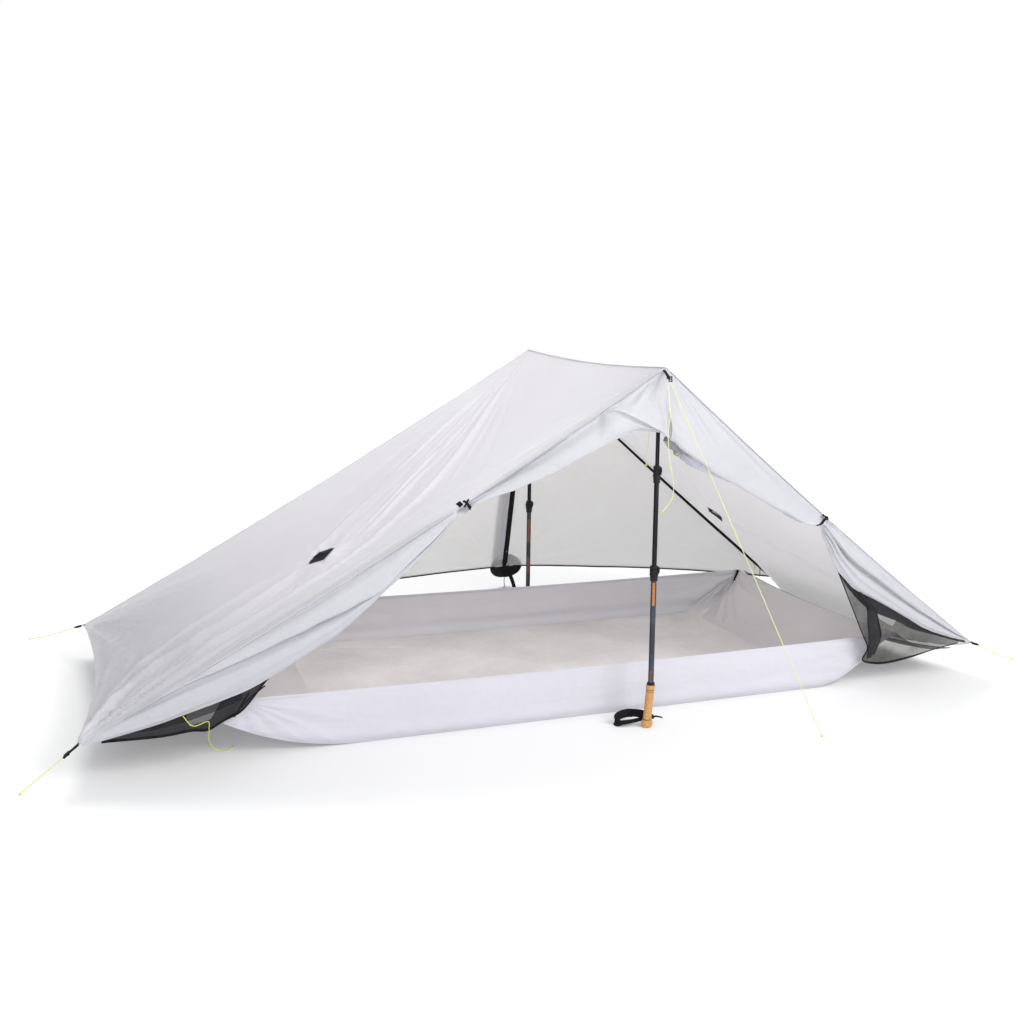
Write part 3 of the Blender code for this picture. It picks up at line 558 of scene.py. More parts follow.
def shaft(name, colour, fleck, metal, rough, bands=(), fleck_amount=0.5):
    """Anodised or lacquered tube: lengthwise brushing, small scuffs, coloured bands by height."""
    k = Nodes(name)
    w = k.noise(160.0, 5.0, 0.7)
    scuff = k.rng(w, 0.62, 0.70, 0.0, fleck_amount)
    tone = k.noise(14.0, 3.0, 0.5)
    c = k.mix(k.rng(tone, 0.35, 0.65, 0.0, 1.0), tuple(x * 0.75 for x in colour), colour)
    c = k.mix(scuff, c, fleck)
    z = (k.uv(), 0)
    for lo, hi, paint, amount in bands:
        inside = k.math('MULTIPLY', k.math('GREATER_THAN', z, lo), k.math('LESS_THAN', z, hi))
        worn = k.math('MULTIPLY', inside, k.rng(w, 0.30, 0.62, amount, amount * 0.55))
        c = k.mix(worn, c, paint)
    p = k("BsdfPrincipled", {"Metallic": metal, "Roughness": rough, "Coat Weight": 0.08, "Coat Roughness": 0.2, "Specular IOR Level": 0.25},
          Base_Color=c, Normal=k.bump(w, 0.05, 0.0002))
    k.put(k.rng(w, 0.3, 0.7, rough - 0.06, rough + 0.16), p.inputs["Roughness"])
    return k.end(p)


def corky(name):
    k = Nodes(name)
    v = k.t.nodes.new("ShaderNodeTexVoronoi")
    v.inputs["Scale"].default_value = 420.0
    k.t.links.new(k.coord().outputs["Object"], v.inputs["Vector"])
    g = k.noise(260.0, 5.0, 0.65)
    big = k.noise(60.0, 3.0, 0.5)
    c = k.mix(k.rng((v, "Color"), 0.15, 0.85, 0.0, 1.0), (0.44, 0.205, 0.072), (0.68, 0.385, 0.155))
    c = k.mix(k.rng(g, 0.60, 0.72, 0.0, 0.75), c, (0.17, 0.075, 0.03))
    c = k.mix(k.rng(big, 0.35, 0.65, 0.0, 0.45), c, (0.60, 0.32, 0.12))
    b = k.bump((v, "Distance"), 0.35, 0.0006, k.bump(g, 0.4, 0.0005))
    p = k("BsdfPrincipled", {"Roughness": 0.78}, Base_Color=c, Normal=b)
    return k.end(p)


def metal(name, colour, rough):
    k = Nodes(name)
    g = k.noise(300.0, 4.0, 0.6)
    p = k("BsdfPrincipled", {"Metallic": 1.0, "Roughness": rough},
          Base_Color=k.mix(k.rng(g, 0.4, 0.7, 0.0, 1.0), colour, tuple(x * 0.6 for x in colour)),
          Normal=k.bump(g, 0.08, 0.0002))
    k.put(k.rng(g, 0.3, 0.7, rough - 0.05, rough + 0.15), p.inputs["Roughness"])
    return k.end(p)


LAV = (0.790, 0.780, 0.835)
M_CANOPY = fabric("canopy_fabric", LAV, (0.745, 0.732, 0.790), 0.45, (0.86, 0.85, 0.84), 0.46)
M_CANOPY_L = fabric("canopy_fabric_left", LAV, (0.745, 0.732, 0.790), 0.42, (0.84, 0.83, 0.825), 0.42, hem=(1.66, 1.98, 0.42))
M_DOOR = fabric("door_fabric", (0.735, 0.733, 0.780), (0.670, 0.668, 0.720), 0.34, (0.80, 0.80, 0.80), 0.46, crinkle=0.9)
M_FAR = fabric("far_door_fabric", (0.77, 0.76, 0.765), (0.73, 0.72, 0.725), 0.46, (0.88, 0.87, 0.85), 0.5)
M_WALL = fabric("wall_fabric", (0.755, 0.745, 0.815), (0.715, 0.705, 0.775), 0.18, (0.62, 0.61, 0.61), 0.5)
# paler copy of the wall fabric for the long walls' inside: painted light that lifts their shaded inner face
M_WALL_INSIDE_PAINTED_LIGHT = fabric("wall_fabric_inner", (0.86, 0.845, 0.875), (0.81, 0.795, 0.825), 0.20, (0.66, 0.64, 0.65), 0.55)
M_FLOOR = fabric("floor_fabric", (0.84, 0.80, 0.79), (0.69, 0.645, 0.635), 0.0, (0.5, 0.5, 0.5), 0.55, blotch=3.4)
M_HEM = fabric("hem_fabric", (0.72, 0.71, 0.765), (0.66, 0.65, 0.71), 0.15, (0.6, 0.6, 0.6), 0.5)
M_SEAM = fabric("seam_fabric", (0.66, 0.65, 0.715), (0.60, 0.59, 0.65), 0.12, (0.60, 0.60, 0.60), 0.5)
M_END_IN = fabric("end_wall_fabric_inner", (0.84, 0.805, 0.795), (0.765, 0.73, 0.72), 0.20, (0.60, 0.58, 0.59), 0.55, blotch=3.0)
# dark fabric for the strips along the near seams: painted shadow under the seam's edge
M_PAINTED_SEAM_SHADOW = fabric("seam_shadow_fabric", (0.40, 0.395, 0.43), (0.30, 0.295, 0.325), 0.0, (0.5, 0.5, 0.5), 0.6)
M_EDGE = fabric("edge_seam_fabric", (0.745, 0.735, 0.795), (0.70, 0.69, 0.75), 0.20, (0.72, 0.72, 0.72), 0.48)
M_NET = netting("black_net", (0.022, 0.020, 0.022), 0.70)
M_NET_OPEN = netting("black_net_open", (0.030, 0.028, 0.030), 0.34, vary=0.06)
M_NET_FACE = netting("black_net_face", (0.036, 0.034, 0.026), 0.64, vary=0.12)
M_NET_THIN = netting("black_net_thin", (0.030, 0.028, 0.024), 0.18, vary=0.04)
M_NET_DENSE = netting("black_net_double", (0.024, 0.023, 0.027), 0.95, vary=0.03)


def rolled(name, dark, pale):
    """Fine netting in many layers: greyer where it is wound tight, paler where it is loose, and painted shade that
    darkens its creases.
    """
    k = Nodes(name)
    long_ = k.t.nodes.new("ShaderNodeMapping")
    long_.inputs["Scale"].default_value = (.16, 1.0, 1.0)
    k.t.links.new(k.coord().outputs["UV"], long_.inputs["Vector"])
    crease = k.noise(190.0, 4.0, 0.6, vec=long_, distort=0.8)
    soft = k.noise(26.0, 3.0, 0.5)
    c = k.mix(k.rng((k.uv(), 0), .045, .14, 0.0, 1.0), dark, pale)
    # painted shade: the creases of the wound netting are darkened
    c = k.mix(k.rng(crease, 0.44, 0.30, 0.0, 0.85), c, tuple(x * .35 for x in dark))
    c = k.mix(k.rng(soft, 0.4, 0.7, 0.0, 0.30), c, tuple(min(1, x * 1.25) for x in pale))
    weave = k.math('MULTIPLY', k.math('SINE', k.math('MULTIPLY', (k.uv(), 0), 3900.0)), k.math('SINE', k.math('MULTIPLY', (k.uv(), 1), 3900.0)))
    b = k.bump(weave, 0.25, 0.0003, k.bump(crease, 0.9, 0.0030))
    p = k("BsdfPrincipled", {"Roughness": 0.7, "Sheen Weight": 0.15, "Specular IOR Level": 0.25}, Base_Color=c, Normal=b)
    return k.end(p)


M_ROLLED = rolled("rolled_netting", (0.25, 0.25, 0.29), (0.55, 0.545, 0.62))
M_WEB = webbing("black_webbing", (0.006, 0.006, 0.007), (0.020, 0.020, 0.022))
M_BIND = webbing("black_binding", (0.008, 0.007, 0.009), (0.024, 0.022, 0.025), 0.0012)
M_PLASTIC = moulded("black_plastic", (0.006, 0.006, 0.007))
M_CORD = braid("yellow_cord", (0.76, 0.78, 0.06), (0.48, 0.50, 0.03))
M_GUY = braid("yellow_guyline", (0.88, 0.88, 0.36), (0.70, 0.70, 0.24))
M_GUY = braid("pale_cord", (0.80, 0.80, 0.34), (0.62, 0.62, 0.22))
M_PULL = braid("orange_cord", (0.90, 0.42, 0.06), (0.55, 0.20, 0.03), 0.0016)
M_ELASTIC = braid("black_elastic", (0.020, 0.021, 0.020), (0.006, 0.006, 0.006), 0.0016)
M_CORK = corky("cork")
M_STEEL = metal("steel", (0.62, 0.62, 0.64), 0.32)
M_SHAFT = shaft("black_shaft", (0.008, 0.009, 0.012), (0.12, 0.13, 0.15), 0.35, 0.36, fleck_amount=0.30)


# ============================================================================
# The shelter's lines, the same as the frame's
# ============================================================================
NP, FP = A(0.100, -0.630, 1.180), A(0.110, 0.570, 1.192)
NL, FL = A(-1.663, -0.607, 0.130), A(-1.674, 0.590, 0.130)
NR, FR = A(1.500, -0.598, 0.145), A(1.440, 0.600, 0.120)
VEST = A(0.240, 1.150, 0.112)
TOG_L, TOG_R = 0.385, 0.478
GABLE = A(0.106, -0.675, 0.958)
UP, OUT_N, OUT_F = A(0, 0, 1), A(0, -1, 0), A(0, 1, 0)
NEAR_TIP, NEAR_FOOT = A(0.095, -0.605, 1.150), A(0.090, -0.665, 0.0018)
FAR_TIP, FAR_FOOT = A(0.115, 0.550, 1.158), A(0.135, 0.562, 0.0012)
GUY_STAKE = A(0.590, -0.916, 0.003)
STAKE_NL, STAKE_FL, STAKE_NR = A(-1.814, -0.592, 0.003), A(-1.889, 0.884, 0.003), A(1.853, -0.477, 0.003)


def edge(a, b, sag):
    def f(t):
        t = np.asarray(t, float)
        return lerp(a, b, t) - (4 * sag * t * (1 - t))[..., None] * UP
    return f


near_l, far_l = edge(NP, NL, 0.027), edge(FP, FL, 0.018)
near_r, far_r = edge(NP, NR, 0.019), edge(FP, FR, 0.014)


def ridge(v):
    v = np.asarray(v, float)
    return lerp(NP, FP, v) - (4 * 0.017 * v * (1 - v))[..., None] * UP


def droop(v):
    v = np.clip(v, 0, 1)
    return (4 * v * (1 - v)) ** .6 + 8 * v ** 8 * (1 - v)


def slope(near, far, pull, drop=0.0):
    def hem(v):
        return lerp(near(1.0), far(1.0), v) + (pull * 4 * v * (1 - v))[..., None] * A(1, 0, 0)

    def f(u, v):
        u, v = np.broadcast_arrays(np.asarray(u, float), np.asarray(v, float))
        U, V = u[..., None], v[..., None]
        a = near(u) * (1 - V) + far(u) * V
        b = ridge(v) * (1 - U) + hem(v) * U
        c = lerp(NP, FP, v) * (1 - U) + lerp(near(1.0), far(1.0), v) * U
        p = a + b - c
        p[..., 2] -= 0.020 * 16 * u * (1 - u) * v * (1 - v) + drop * droop(v) * u ** 4
        return p
    return f


DROP_R = 0.078
left_f, right_f = slope(near_l, far_l, 0.045), slope(near_r, far_r, -0.045, DROP_R)


# ============================================================================
# Folds in cloth, as heights in metres over a cloth's own two lengths
# ============================================================================
def fold(X, Y, pts, w0, w1, a0, a1, skew=1.0, ends=0.12, crisp=0.0):
    """A ridge along a line of points, soft or crisp; its width and height change from start to end."""
    p = np.array(pts, float)
    if len(p) > 2:
        p = smooth([(*q, 0) for q in p], 4 * len(p))[:, :2]
    best = np.full(X.shape, 1e9)
    side, along = np.zeros(X.shape), np.zeros(X.shape)
    acc = np.r_[0, np.cumsum(np.linalg.norm(np.diff(p, axis=0), axis=1))]
    for i in range(len(p) - 1):
        d = p[i + 1] - p[i]
        l2 = d @ d
        t = np.clip(((X - p[i, 0]) * d[0] + (Y - p[i, 1]) * d[1]) / l2, 0, 1)
        ex, ey = X - p[i, 0] - t * d[0], Y - p[i, 1] - t * d[1]
        r = np.hypot(ex, ey)
        near = r < best
        best = np.where(near, r, best)
        side = np.where(near, np.sign(ex * d[1] - ey * d[0]), side)
        along = np.where(near, (acc[i] + t * math.sqrt(l2)) / acc[-1], along)
    w = w0 + (w1 - w0) * along
    w = np.where(side > 0, w * skew, w)
    a = (a0 + (a1 - a0) * along) * np.clip(along / ends, 0, 1) ** 0.5 * np.clip((1 - along) / ends, 0, 1) ** 0.5 \
        if ends else (a0 + (a1 - a0) * along)
    return a * ((1 - crisp) * np.exp(-(best / w) ** 2) + crisp * np.exp(-1.7 * best / w))


def fan(X, Y, at, seed, count, amp, reach, start=0.04, spread=None):
    """Folds that run out from a pulled corner, sharper near it and fading with distance."""
    dx, dy = X - at[0], Y - at[1]
    r, a = np.hypot(dx, dy), np.arctan2(dy, dx)
    h = 1 - 2 * np.abs(noise(a * count / 3.14 + 31, r * 1.2 + seed, seed)) ** 0.8
    h = h + 0.4 * noise(a * count / 1.5 + 11, r * 2.0 + seed, seed + 1)
    k = r / (r + start) * np.exp(-(r / reach) ** 2)
    if spread:
        mid, wide = spread
        k = k * np.exp(-((a - mid) / wide) ** 4)
    return amp * h * k


def turned_under(P, width=0.014, gap=0.0018):
    """The same grid with its last row folded under, as a sewn hem is."""
    n = normals(P)
    back = unit(P[-2] - P[-1])
    d = np.linalg.norm(P[-1] - P[-6], axis=1).mean()
    in_ = P[-1] + (P[-6] - P[-1]) * min(width / d, 1.6)
    m = n[-1]
    rows = [P[-1] - back * gap * 0.5 - m * gap * 0.25, P[-1] - back * gap * 0.3 - m * gap * 0.8,
            P[-1] + back * gap * 0.2 - m * gap, in_ - m * gap * 1.1]
    return np.concatenate([P, np.array(rows)])


def lift_hem(P, n, width, height):
    """Raise the doubled strip along the last rows."""
    d = np.linalg.norm(P - P[-1:], axis=2)
    return P + n * (height * (1 - ease(d, width * 0.92, width * 1.08)))[..., None]


def loft(C, m):
    """Rows of control points, each made into m points on a smooth curve through them."""
    k = C.shape[1]
    e = np.concatenate([2 * C[:, :1] - C[:, 1:2], C, 2 * C[:, -1:] - C[:, -2:-1]], 1)
    t = np.linspace(0, k - 1, m)
    i = np.minimum(t.astype(int), k - 2)
    f = (t - i)[None, :, None]
    a, b, c, d = e[:, i], e[:, i + 1], e[:, i + 2], e[:, i + 3]
    return 0.5 * (2 * b + (c - a) * f + (2 * a - 5 * b + 4 * c - d) * f ** 2 + (3 * b - a - 3 * c + d) * f ** 3)


def by_x(points, n=200):
    """Points as a smooth curve that is asked for by its x."""
    q = smooth(points, n)
    o = np.argsort(q[:, 0])
    return lambda x: np.stack([np.asarray(x, float), np.interp(x, q[o, 0], q[o, 1]), np.interp(x, q[o, 0], q[o, 2])], -1)


def grid(nu, nv):
    return np.meshgrid(np.linspace(0, 1, nu), np.linspace(0, 1, nv), indexing="ij")


SHEETS = []


def area_of(ob):
    me = ob.data
    a = np.zeros(len(me.polygons))
    me.polygons.foreach_get("area", a)
    return float(a.sum())


def declare(ob, flat, nodes=(), area=None):
    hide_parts(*nodes)
    SHEETS.append((ob.name, flat, area, round(area_of(ob), 3)))


# ============================================================================
# The two slopes of the canopy
# ============================================================================
def left_panel():
    U, V = grid(300, 190)
    U = U ** 0.97
    P = left_f(U, 0.0 + V)
    N = normals(P)
    if N[150, 90, 2] < 0:
        N = -N
    X, Y = U * 2.05, V * 1.20
    m = lambda pts: [(a * 2.05, b * 1.20) for a, b in pts]
    h = 0
    # long folds from the near corner, past the tie-out patch and up to the far peak
    h = h + fold(X, Y, m([(1, .008), (.93, .215), (.82, .283), (.718, .312), (.655, .345), (.60, .372)]), .016, .027, .0056, .0066, 0.7, crisp=.6)
    h = h + fold(X, Y, m([(1, .004), (.955, .06), (.87, .138), (.753, .172), (.605, .200), (.492, .265), (.362, .38), (.21, .633), (.10, .83)]), .014, .024, .0052, .0022, 0.7, crisp=.6)
    h = h + fold(X, Y, m([(.992, .10), (.95, .29), (.897, .385), (.795, .446), (.685, .455), (.60, .42)]), .013, .023, .0040, .0032, 0.7, crisp=.6)
    h = h + fold(X, Y, m([(.575, .352), (.465, .442), (.35, .592), (.242, .682), (.12, .83)]), .016, .016, .0028, .0014, 0.7, crisp=.6)
    h = h + fold(X, Y, m([(.60, .330), (.49, .375), (.38, .505), (.27, .62), (.15, .78)]), .014, .014, .0022, .0014, crisp=.6)
    h = h + fold(X, Y, m([(.64, .405), (.54, .52), (.43, .64), (.30, .765), (.17, .88)]), .016, .016, .0020, .0014, crisp=.6)
    h = h + fold(X, Y, m([(1, .0), (.93, .055), (.80, .078), (.62, .075), (.42, .07)]), .014, .030, .0036, .0016, 0.7, crisp=.6)
    h = h + fold(X, Y, m([(1, .01), (.965, .14), (.90, .235), (.83, .31)]), .010, .016, .0026, .0012, crisp=.6)
    # hollow between the folds, around the patch
    h = h - fold(X, Y, m([(.98, .06), (.87, .175), (.76, .225), (.64, .262)]), .018, .024, .0048, .0042)
    h = h - 0.0040 * np.exp(-(((X - 1.11) / .20) ** 2 + ((Y - .36) / .15) ** 2))
    h = h + 0.0090 * np.exp(-(((X - 1.195) / .075) ** 2 + ((Y - .414) / .055) ** 2))
    # ripples that run out from the far and the near peak
    h = h + fan(X, Y, (0.0, 1.20), 21, 70, .0013, 1.25, .25, (-.62, .42))
    h = h + fan(X, Y, (0.0, 0.0), 33, 50, .0010, .75, .20, (.25, .35))
    # folds that spread from each pulled corner of the hem
    h = h + fan(X, Y, (2.05, 0.0), 5, 26, .0036, .55, .10)
    h = h + fan(X, Y, (2.05, 1.20), 8, 24, .0040, .42, .08)
    h = h + fan(X, Y, (1.195, .414), 12, 22, .0015, .22, .05)
    # crinkles by the hem, fading up the slope
    edge_ = ease(U, .80, 1.0)
    h = h * 3.7
    h = h + .0065 * edge_ * (creased(X * 11, Y * 8, 61) - .35) * (0.60 + .40 * noise(X * 5, Y * 3, 9))
    h = h + .0036 * ease(U, .84, .98) * (creased(X * 24, Y * 19, 64) - .35)
    h = h + .0020 * ease(U, .45, .9) * (creased(X * 17, Y * 15, 66) - .35)
    # fine long streaks that all run out of the near corner
    ra_, rr_ = np.arctan2(Y - 0.0, 2.05 - X), np.hypot(2.05 - X, Y)
    streak = 1 - 2 * np.abs(noise(ra_ * 30 + 5, rr_ * .8 + 3, 77)) ** .75
    h = h + .0042 * streak * (rr_ / (rr_ + .12)) * np.exp(-(rr_ / 1.25) ** 2) * np.exp(-((ra_ - .30) / .38) ** 4)
    h = h + .0030 * fbm(X * 2.2, Y * 2.0, 71, 3) + .0006 * fbm(X * 13, Y * 10, 74, 3)
    # held flat along the two seams and the ridge
    w_ = np.exp(-(np.hypot(X - 1.195, Y - .414) / .056) ** 4)
    h = h * (1 - w_) + .0105 * w_
    h = h * ease(V, 0.0, .035) ** 0.6 * ease(1 - V, 0.0, .03) ** 0.6 * ease(U, 0.0, .02)
    P = P + N * h[..., None]
    P = lift_hem(P, normals(P) * (1 if normals(P)[150, 90, 2] > 0 else -1), .016, .0011)
    P = turned_under(P) if normals(P)[150, 90, 2] > 0 else turned_under(P[:, ::-1])[:, ::-1]
    ob = sheet("canopy_left", P, M_CANOPY_L)
    declare(ob, (1.22, 2.08),
            ["canopy_left_panel"])
    return ob, P


def right_panel():
    U, V = grid(230, 160)
    P = right_f(U, V)
    N = normals(P)
    if N[100, 80, 2] < 0:
        N = -N
    X, Y = U * 1.76, V * 1.20
    h = 0
    h = h + fold(X, Y, [(1.76, 0.0), (1.50, .22), (1.25, .47), (1.08, .84), (1.06, .93)], .022, .036, .0050, .0050, .7)
    h = h + fold(X, Y, [(1.76, 1.2), (1.50, 1.10), (1.25, 1.02), (1.10, .96)], .020, .032, .0040, .0040)
    h = h + fold(X, Y, [(1.03, .90), (.70, .72), (.40, .40), (.15, .12)], .030, .022, .0034, .0015)
    h = h + fan(X, Y, (0.0, 1.20), 121, 46, .0014, 1.0, .25)
    h = h + fan(X, Y, (0.0, 0.0), 133, 46, .0014, 1.0, .20)
    h = h + fan(X, Y, (1.76, 0.0), 105, 26, .0034, .50, .10)
    h = h + fan(X, Y, (1.76, 1.20), 108, 24, .0030, .42, .08)
    h = h * 1.7
    h = h + .0070 * ease(U, .82, 1) * (creased(X * 11, Y * 8, 161) - .35)
    h = h + 0.0080 * np.exp(-(((X - 1.082) / .075) ** 2 + ((Y - .948) / .06) ** 2))
    h = h + .0026 * fbm(X * 2.2, Y * 2.0, 171, 3) + .0006 * fbm(X * 13, Y * 10, 174, 3)
    h = h * ease(V, 0, .035) ** .6 * ease(1 - V, 0, .03) ** .6 * ease(U, 0, .02)
    P = P + N * h[..., None]
    sgn = 1 if normals(P)[100, 80, 2] > 0 else -1
    P = lift_hem(P, normals(P) * sgn, .016, .0011)
    P = turned_under(P) if sgn > 0 else turned_under(P[:, ::-1])[:, ::-1]
    ob = sheet("canopy_right", P, M_CANOPY)
    declare(ob, (1.22, 1.79),
            ["canopy_right_panel"])
    return ob, P


CAN_L, PL = left_panel()
CAN_R, PR = right_panel()


def seam_strip(name, f, t0, t1, n, off, up, width, thick, mat, seed=3):
    """A felled seam: a low double strip that puckers a little along its stitches."""
    t = np.linspace(t0, t1, n)
    p = f(t) + off
    p = p + (noise(t * 60, t * 0 + seed, seed) * 0.0007)[:, None] * up
    return ribbon(name, p, up, width, thick, mat)


seam_strip("ridge_seam", ridge, 0.0, 1.0, 90, A(0, 0, .0006), UP, .013, .0022, M_CANOPY)


def slope_up(f, u, v):
    p = f(u, v)
    n = np.cross(f(u + 1e-3, v) - p, f(u, v + 1e-3) - p)
    n = n / np.linalg.norm(n)
    return n if n[2] > 0 else -n


for tag, line, f, v, out in (("near_left", near_l, left_f, .004, OUT_N), ("far_left", far_l, left_f, .996, OUT_F),
                             ("near_right", near_r, right_f, .004, OUT_N), ("far_right", far_r, right_f, .996, OUT_F)):
    n_ = slope_up(f, .5, v)
    seam_strip("seam_" + tag, line, .004, .997, 160, out * .0015 + n_ * .0002, unit(n_ + out * .35), .0085, .0024, M_EDGE, 7)


# dark strips laid just outside and below the near seams: painted shadow along the seam's edge
for tag, line, t0, t1, w_ in (("left_a", near_l, .012, .372, .0046), ("left_b", near_l, .392, .93, .0034), ("right_a", near_r, .012, .462, .0036), ("right_b", near_r, .495, .90, .0026)):
    t_ = np.linspace(t0, t1, 140)
    ribbon("edge_line_" + tag, line(t_) + OUT_N * .0052 + A(0, 0, -.0006), unit(OUT_N + UP * .25), w_ * np.clip((1 - t_) / .5, .35, 1), .0014, M_PAINTED_SEAM_SHADOW)


# ============================================================================
# Near door, its halves zipped at the top, tied back, and bunched to the corners
# ============================================================================
TL, TR = near_l(TOG_L), near_r(TOG_R)
SHIFT = A(0, -.0035, -.0026)


def tucked(a, b, lo, hi, depth, step, count, pin, start_low=True):
    """The rest of the gathered cloth, laid back and forth behind the fold that shows."""
    out = []
    n = len(a)
    for k in range(count):
        up_ = (k % 2 == 0) == start_low
        for j, f in enumerate((.5, lo if up_ else hi)):
            f = f + .03 * math.sin(5.1 * k + f * 7)
            out.append(a * (1 - f) + b * f - OUT_N * (depth + step * (k + .5 * j)) * pin)
    return out


def upper_left():
    """Gable part, its turned edge, and the swag behind it as far as the toggle."""
    n = 150
    w = np.linspace(0, 1, n)
    wn = .1255 / TOG_L
    S = near_l(TOG_L * w) + SHIFT
    E_ = curve([GABLE, (.085, -.677, .975), (.063, -.676, .989), (-.008, -.674, 1.020), (-.068, -.668, 1.047),
                (-.099, -.655, 1.049), near_l(.1255) + A(0, -.006, -.006)])
    E = np.where((w < wn)[:, None], E_(w / wn), S + A(0, -.003, -.004))
    H_ = curve([(.080, -.660, .985), (.058, -.660, .985), (.006, -.655, .984), (-.052, -.654, .968), (-.161, -.650, .916),
                (-.301, -.646, .848), (-.417, -.643, .805), (-.518, -.640, .772), TL + A(.012, -.012, -.022)])
    H = H_(w)
    kE = np.clip(np.linalg.norm(S - E, axis=1) / .05, 0, 1)[:, None]
    span = np.clip(np.linalg.norm(H - E, axis=1) / .10, 0, 1)[:, None]
    pin = np.clip((1 - w) / .12, 0.12, 1)[:, None]
    O, B = OUT_N, -OUT_N
    top = ease(w, 0, .10)[:, None]
    C = np.stack([
        S, lerp(S, E, np.full(n, .22)) + O * .004 * kE, lerp(S, E, np.full(n, .5)) + O * .007 * kE * top, lerp(S, E, np.full(n, .82)) + O * .007 * kE,
        E + O * .0045 * kE + UP * .001, E + O * .001 - UP * .0016 * kE, E + B * .0035 + UP * .003 * kE, E + B * .0050 + UP * .009 * kE,
        lerp(E, H, np.full(n, .14)) + B * .0050, lerp(E, H, np.full(n, .38)) + O * .008 * span, lerp(E, H, np.full(n, .68)) + O * .011 * span,
        lerp(E, H, np.full(n, .92)) + O * .005 * span, H, H + B * .004 + UP * .002,
        *tucked(S, H, .10, .93, .0080, .0030, 6, pin),
    ], 1)
    P = loft(C, 260)
    W, Q = np.meshgrid(w, np.linspace(0, 1, 260), indexing="ij")
    N = normals(P)
    sgn = np.sign(N[20, 30] @ OUT_N)
    N = N * sgn
    d = np.linalg.norm(P - (TL + A(0, -.010, -.012)), axis=2)
    ang = np.arctan2(P[..., 2] - TL[2], P[..., 0] - TL[0])
    h = .0072 * (1 - 2 * np.abs(noise(ang * 11 + 3, d * 3, 201))) * (d / (d + .05)) * np.exp(-(d / .26) ** 2)
    rp = np.linalg.norm(P - NP, axis=2)
    ap = np.arctan2(P[..., 2] - NP[2] + 1e-6, P[..., 0] - NP[0])
    h = h + .0068 * (1 - 2 * np.abs(noise(ap * 9 + 9, rp * 4, 204))) * (rp / (rp + .04)) * np.exp(-(rp / .22) ** 2) * (W < wn * 1.1)
    h = h + .0024 * fbm(P[..., 0] * 12, P[..., 2] * 12, 209, 3) + .0024 * (creased(P[..., 0] * 16, P[..., 2] * 18, 214) - .35)
    P = P + N * (h * ease(Q, 0, .03))[..., None]
    return P


def lower(side, seam, t0, tog, corner, crease, low, bulge, seed):
    """From the toggle to the corner: two long pleats, the upper lapping over the lower."""
    n, m = 230, 230
    w = np.linspace(0, 1, n)
    x0, x1 = tog[0] + (.004 * side if side < 0 else -.0215), corner[0] - side * .012
    x = x0 + (x1 - x0) * w
    t = (x - NP[0]) / (corner[0] - NP[0])
    S = seam(t) + SHIFT + A(0, -.001, .0010)
    C1, L = crease(x), low(x)
    pin = (np.clip(w / .08, .15, 1) * np.clip((1 - w) / .06, .12, 1))[:, None]
    d1 = np.clip(np.linalg.norm(C1 - S, axis=1) / .07, .12, 1)[:, None] * pin
    d2 = np.clip(np.linalg.norm(L - C1, axis=1) / .06, .12, 1)[:, None] * pin
    O, B = OUT_N, -OUT_N
    f = lambda a, b, k: a * (1 - k) + b * k
    C = np.stack([
        S, f(S, C1, .08) + O * .0015, f(S, C1, .30) + O * bulge[0] * d1 + UP * .003 * d1, f(S, C1, .62) + O * bulge[0] * 1.30 * d1,
        f(S, C1, .90) + O * bulge[0] * 1.15 * d1, C1 + O * bulge[0] * .60 * d1, C1 + O * bulge[0] * .22 * d1 + UP * .002 * d1,
        f(S, C1, .88) + B * .0030 * pin, f(S, C1, .82) + B * .0085 * pin, f(S, C1, .93) + B * .0100 * pin,
        f(C1, L, .14) + B * .0060 * pin, f(C1, L, .34) + O * bulge[1] * d2, f(C1, L, .60) + O * bulge[1] * 1.25 * d2,
        f(C1, L, .88) + O * bulge[1] * .75 * d2, L, f(C1, L, .97) + B * .0045 * pin,
        *tucked(S, L, .07, .93, .0075, .0028, 6, pin),
    ], 1)
    P = loft(C, m)
    Q = np.linspace(0, 1, m)[None] + 0 * w[:, None]
    W = w[:, None] + 0 * Q
    N = normals(P)
    N = N * np.sign(N[60, 15] @ OUT_N)
    env = (.30 + .90 * np.exp(-((1 - W) / .35) ** 2) + 1.4 * np.exp(-(W / .20) ** 2)) * np.clip(W / .03, 0, 1) * np.clip((1 - W) / .03, 0, 1)
    h = .0050 * (1 - 2 * np.abs(noise(Q * 26 + 2 * noise(W * 2, Q * 2, seed + 5), W * 2.4, seed))) * env
    h = h + .0018 * fbm(W * 7, Q * 9, seed + 1, 3) + .0011 * (creased(W * 30, Q * 26, seed + 2) - .35)
    h = h * ease(Q, 0, .03) * np.clip(np.linalg.norm(L - S, axis=1) / .10, .15, 1)[:, None]
    return P + N * h[..., None]


